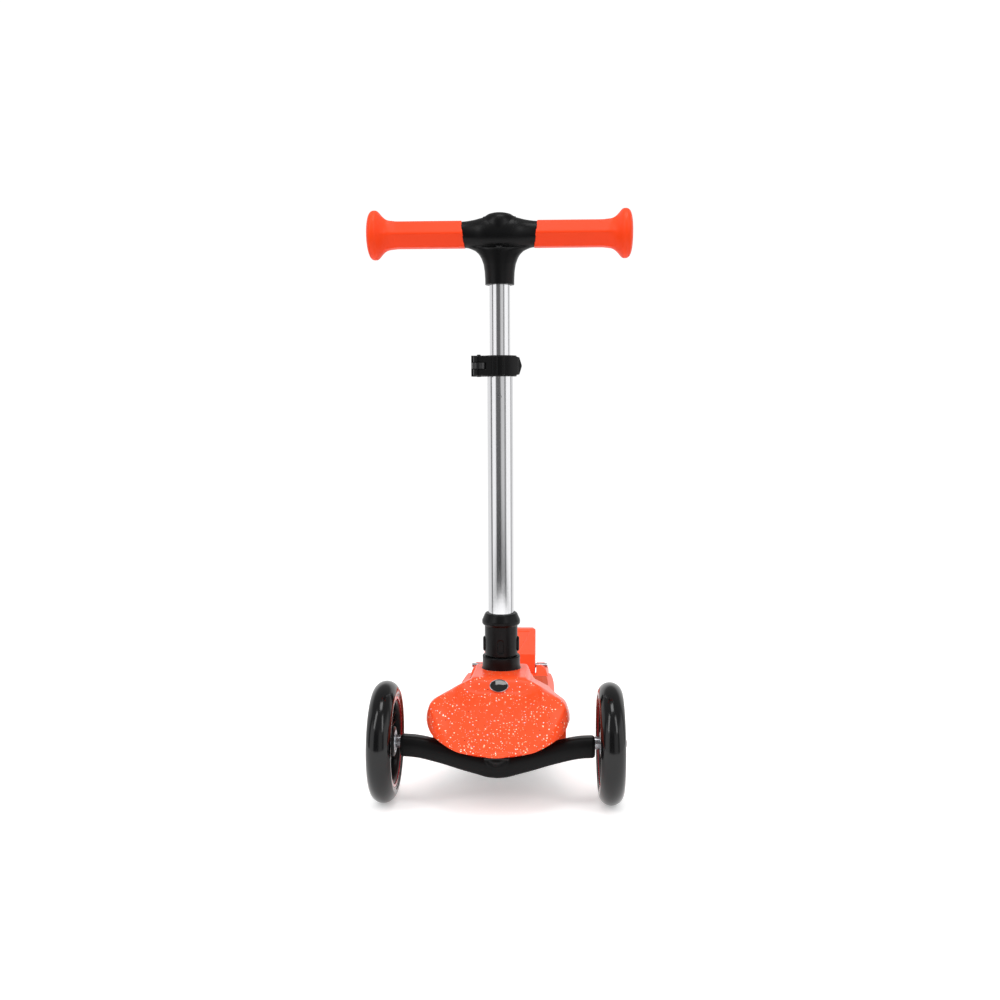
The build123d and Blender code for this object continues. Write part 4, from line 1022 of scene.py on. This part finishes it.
class SCOOTER_OT_axle(bpy.types.Operator):
    """Build the leaning axle beam and its fittings"""

    bl_idname = "scooter.axle"
    bl_label = "Axle beam"

    def execute(self, context):
        piece("beam", beam_mesh(), beam_nylon(), "front_axle", ["axle_beam"], sharp=50)
        piece("nut_covers", cap_nut_mesh(), shared(black_steel), "front_axle", ["cap_nuts"])
        dress(shared(zinc_steel), "wheel_bolts", "wheel_washers", "steer_bolt", "steer_nut", "rear_axle",
              "rear_axle_nut", "rear_spacers", "deck_screws")
        dress(powder_coat(), "steer_casting")
        dress(bumper_rubber(), "steer_bushes", "steer_bumper_left", "steer_bumper_right")
        return {"FINISHED"}


class SCOOTER_OT_wheels(bpy.types.Operator):
    """Build the three wheels with their tyres, rings and spoked hubs"""

    bl_idname = "scooter.wheels"
    bl_label = "Wheels"

    def execute(self, context):
        rubber, nylon, lacquer = cast_urethane(), shared(black_nylon), ring_lacquer()
        for name, side in (("left", -1), ("right", 1)):
            centre = Vector((side * WHEEL_OUT, FRONT_AXLE.y, FRONT_AXLE.z))
            body = f"front_wheel_{name}"
            piece(f"front_tyre_{name}", tyre_mesh(44.5, TYRE_R, 9, centre), rubber, body,
                  [f"tyre_front_{name}"], sharp=60)
            hub = hub_mesh(centre, 42, 38, 15, 6, 4.6)
            piece(f"front_hub_{name}", hub, nylon, body, [f"hub_front_{name}"], sharp=50)
            dress(lacquer, f"ring_front_{name}")
            dress(shared(zinc_steel), f"bearings_front_{name}", f"spacer_front_{name}")
        piece("back_tyre", tyre_mesh(26, REAR_TYRE_R, 8, REAR_AXLE), rubber, "rear_wheel",
              ["tyre_rear"], sharp=60)
        piece("back_hub", hub_mesh(REAR_AXLE, 26, 23.4, 14, 5, 3.2), nylon, "rear_wheel",
              ["hub_rear"],
              sharp=50)
        dress(shared(zinc_steel), "bearings_rear", "spacer_rear")
        return {"FINISHED"}


# --- studio -------------------------------------------------------------------------------------------
FLOOR_R = 780.0  # just short of the camera, so that the leaning tubes reflect the cards and not the floor
CAMERA_AT, CAMERA_TURN = (0.0446, -1.2690, 0.302), radians(2.3)
LENS, FILM_WIDTH = 37.8, 36
# (name, place, the place it points at, size, watts)
SOFTBOXES = (("left_softbox", (-0.9, -1.1, 1.3), (0, -0.1, 0.2), (0.35, 1.0), 5),
             ("right_softbox", (0.8, -1.2, 1.2), (0, -0.1, 0.2), (0.3, 0.9), 3.5),
             ("top_softbox", (0.05, -0.5, 1.7), (0, -0.15, 0.1), (0.5, 0.5), 4))
# the cards round the scooter: (bearing in degrees from straight ahead of it, brightness)
CARDS = ((-180, 1.0), (-96, 1.0), (-89, 0.2), (-80, 0.2), (-73, 1.25), (-42, 1.25), (-34, 0.16), (2, 0.16),
         (13, 0.75), (36, 0.8), (42, 0.3), (52, 0.36), (57, 1.3), (102, 1.3), (107, 0.5), (118, 0.5),
         (124, 1.0), (180, 1.0))


def grey(value):
    """A grey of that brightness."""
    return (value, value, value, 1)


def studio_world():
    """Even white light for the shading, and a ring of bright and dark cards for the reflections."""
    world = bpy.data.worlds.new("studio")
    world.use_nodes = True
    tree = world.node_tree
    tree.nodes.clear()
    direction = add_node(tree, "ShaderNodeTexCoord").outputs["Generated"]
    axes = add_node(tree, "ShaderNodeSeparateXYZ", inputs={0: direction}).outputs
    bearing = maths(tree, "ARCTAN2", axes["X"], maths(tree, "MULTIPLY", axes["Y"], -1.0))
    around = ranged(tree, bearing, (0.0, 1.0), (-pi, pi))
    cards = add_node(tree, "ShaderNodeValToRGB", inputs={0: around})
    ramp = cards.color_ramp
    ramp.elements[0].color = grey(CARDS[0][1])
    ramp.elements[1].color = grey(CARDS[-1][1])
    for degrees, value in CARDS[1:-1]:
        ramp.elements.new(0.5 + degrees / 360).color = grey(value)
    # the cards end below the tubes' foot, where the dark studio shows, and give way to an even grey overhead
    dimmer = ranged(tree, axes["Z"], (0.36, 1.0), (-0.27, -0.19), "SMOOTHSTEP")
    dimmed = add_node(tree, "ShaderNodeMix", {"data_type": "RGBA", "blend_type": "MULTIPLY"},
                      {0: 1.0, 6: cards.outputs[0], 7: dimmer})
    overhead = ranged(tree, axes["Z"], (0.0, 1.0), (0.4, 0.62), "SMOOTHSTEP")
    reflected = mixed(tree, overhead, dimmed.outputs[2], grey(0.35))
    rays = add_node(tree, "ShaderNodeLightPath").outputs
    from_above = ranged(tree, axes["Z"], (0.42, 1.12), (-0.3, 0.7), "SMOOTHSTEP")
    for_gloss = mixed(tree, rays["Is Glossy Ray"], from_above, reflected)
    seen = mixed(tree, rays["Is Camera Ray"], for_gloss, grey(1.05))
    light = add_node(tree, "ShaderNodeBackground", inputs={"Color": seen, "Strength": 1.0})
    add_node(tree, "ShaderNodeOutputWorld", inputs={"Surface": light.outputs[0]})
    bpy.context.scene.world = world


def floor_material():
    """Matt white studio floor, faintly lit from within so that its shadows stay soft and pale."""
    made, tree, shader, place = new_material("studio_floor", {"Roughness": 0.9, "Specular IOR Level": 0.1,
                                                               "Emission Color": grey(1),
                                                               "Emission Strength": 0.36})
    mottle = noise(tree, place, 1.2, 2.0)
    tree.links.new(mixed(tree, mottle, grey(0.86), grey(0.88)), shader.inputs["Base Color"])
    return made


def softbox(name, place, aim, size, power):
    """A rectangular softbox that points at a place."""
    light = bpy.data.lights.new(name, "AREA")
    light.shape = "RECTANGLE"
    light.size, light.size_y = size
    light.energy = power
    holder = bpy.data.objects.new(name, light)
    holder.location = place
    holder.rotation_euler = (Vector(aim) - Vector(place)).to_track_quat("-Z", "Y").to_euler()
    bpy.context.scene.collection.objects.link(holder)


class SCOOTER_OT_studio(bpy.types.Operator):
    """Set up the floor, the lights and the camera"""

    bl_idname = "scooter.studio"
    bl_label = "Studio"

    def execute(self, context):
        scene = context.scene
        scene.view_settings.view_transform = "Standard"
        studio_world()
        steps = 128
        circle = [(FLOOR_R * cos(2 * pi * i / steps), FLOOR_R * sin(2 * pi * i / steps),
                   0) for i in range(steps)]
        floor = mesh_from("floor", circle, [tuple(range(steps))], outward=False)
        ground = bpy.data.objects.new("studio_floor", floor)
        floor.materials.append(floor_material())
        scene.collection.objects.link(ground)
        for box in SOFTBOXES:
            softbox(*box)
        camera = bpy.data.cameras.new("camera")
        camera.lens, camera.sensor_width = LENS, FILM_WIDTH
        camera.clip_start, camera.clip_end = 0.05, 60
        holder = bpy.data.objects.new("camera", camera)
        holder.location = CAMERA_AT
        holder.rotation_euler = (radians(90), 0, CAMERA_TURN)
        scene.collection.objects.link(holder)
        scene.camera = holder
        return {"FINISHED"}


class SCOOTER_PT_panel(bpy.types.Panel):
    """Sidebar panel with the scooter's settings and pieces"""

    bl_label = "Kick scooter"
    bl_idname = "SCOOTER_PT_panel"
    bl_space_type = "VIEW_3D"
    bl_region_type = "UI"
    bl_category = "Scooter"

    def draw(self, context):
        layout = self.layout
        for group in (context.scene.scooter_sizes, context.scene.scooter_colours):
            box = layout.box()
            for name in group.bl_rna.properties.keys():
                if name not in ("rna_type", "name"):
                    box.prop(group, name)
        for operator in OPERATORS:
            layout.operator(operator.bl_idname)


OPERATORS = (SCOOTER_OT_hood, SCOOTER_OT_deck, SCOOTER_OT_mudguard, SCOOTER_OT_stem, SCOOTER_OT_clamp,
             SCOOTER_OT_handlebar, SCOOTER_OT_axle, SCOOTER_OT_wheels, SCOOTER_OT_studio)
CLASSES = (ScooterColours, ScooterSizes) + OPERATORS + (SCOOTER_PT_panel,)


def register():
    """Adds the classes and the scene's settings."""
    for cls in CLASSES:
        bpy.utils.register_class(cls)
    bpy.types.Scene.scooter_colours = PointerProperty(type=ScooterColours)
    bpy.types.Scene.scooter_sizes = PointerProperty(type=ScooterSizes)


def unregister():
    """Takes them away again."""
    del bpy.types.Scene.scooter_sizes
    del bpy.types.Scene.scooter_colours
    for cls in reversed(CLASSES):
        bpy.utils.unregister_class(cls)


def main():
    """Builds every piece and the studio."""
    register()
    bpy.ops.scooter.hood()
    bpy.ops.scooter.deck()
    bpy.ops.scooter.mudguard()
    bpy.ops.scooter.stem()
    bpy.ops.scooter.clamp()
    bpy.ops.scooter.handlebar()
    bpy.ops.scooter.axle()
    bpy.ops.scooter.wheels()
    bpy.ops.scooter.studio()


if __name__ == "__main__":
    main()
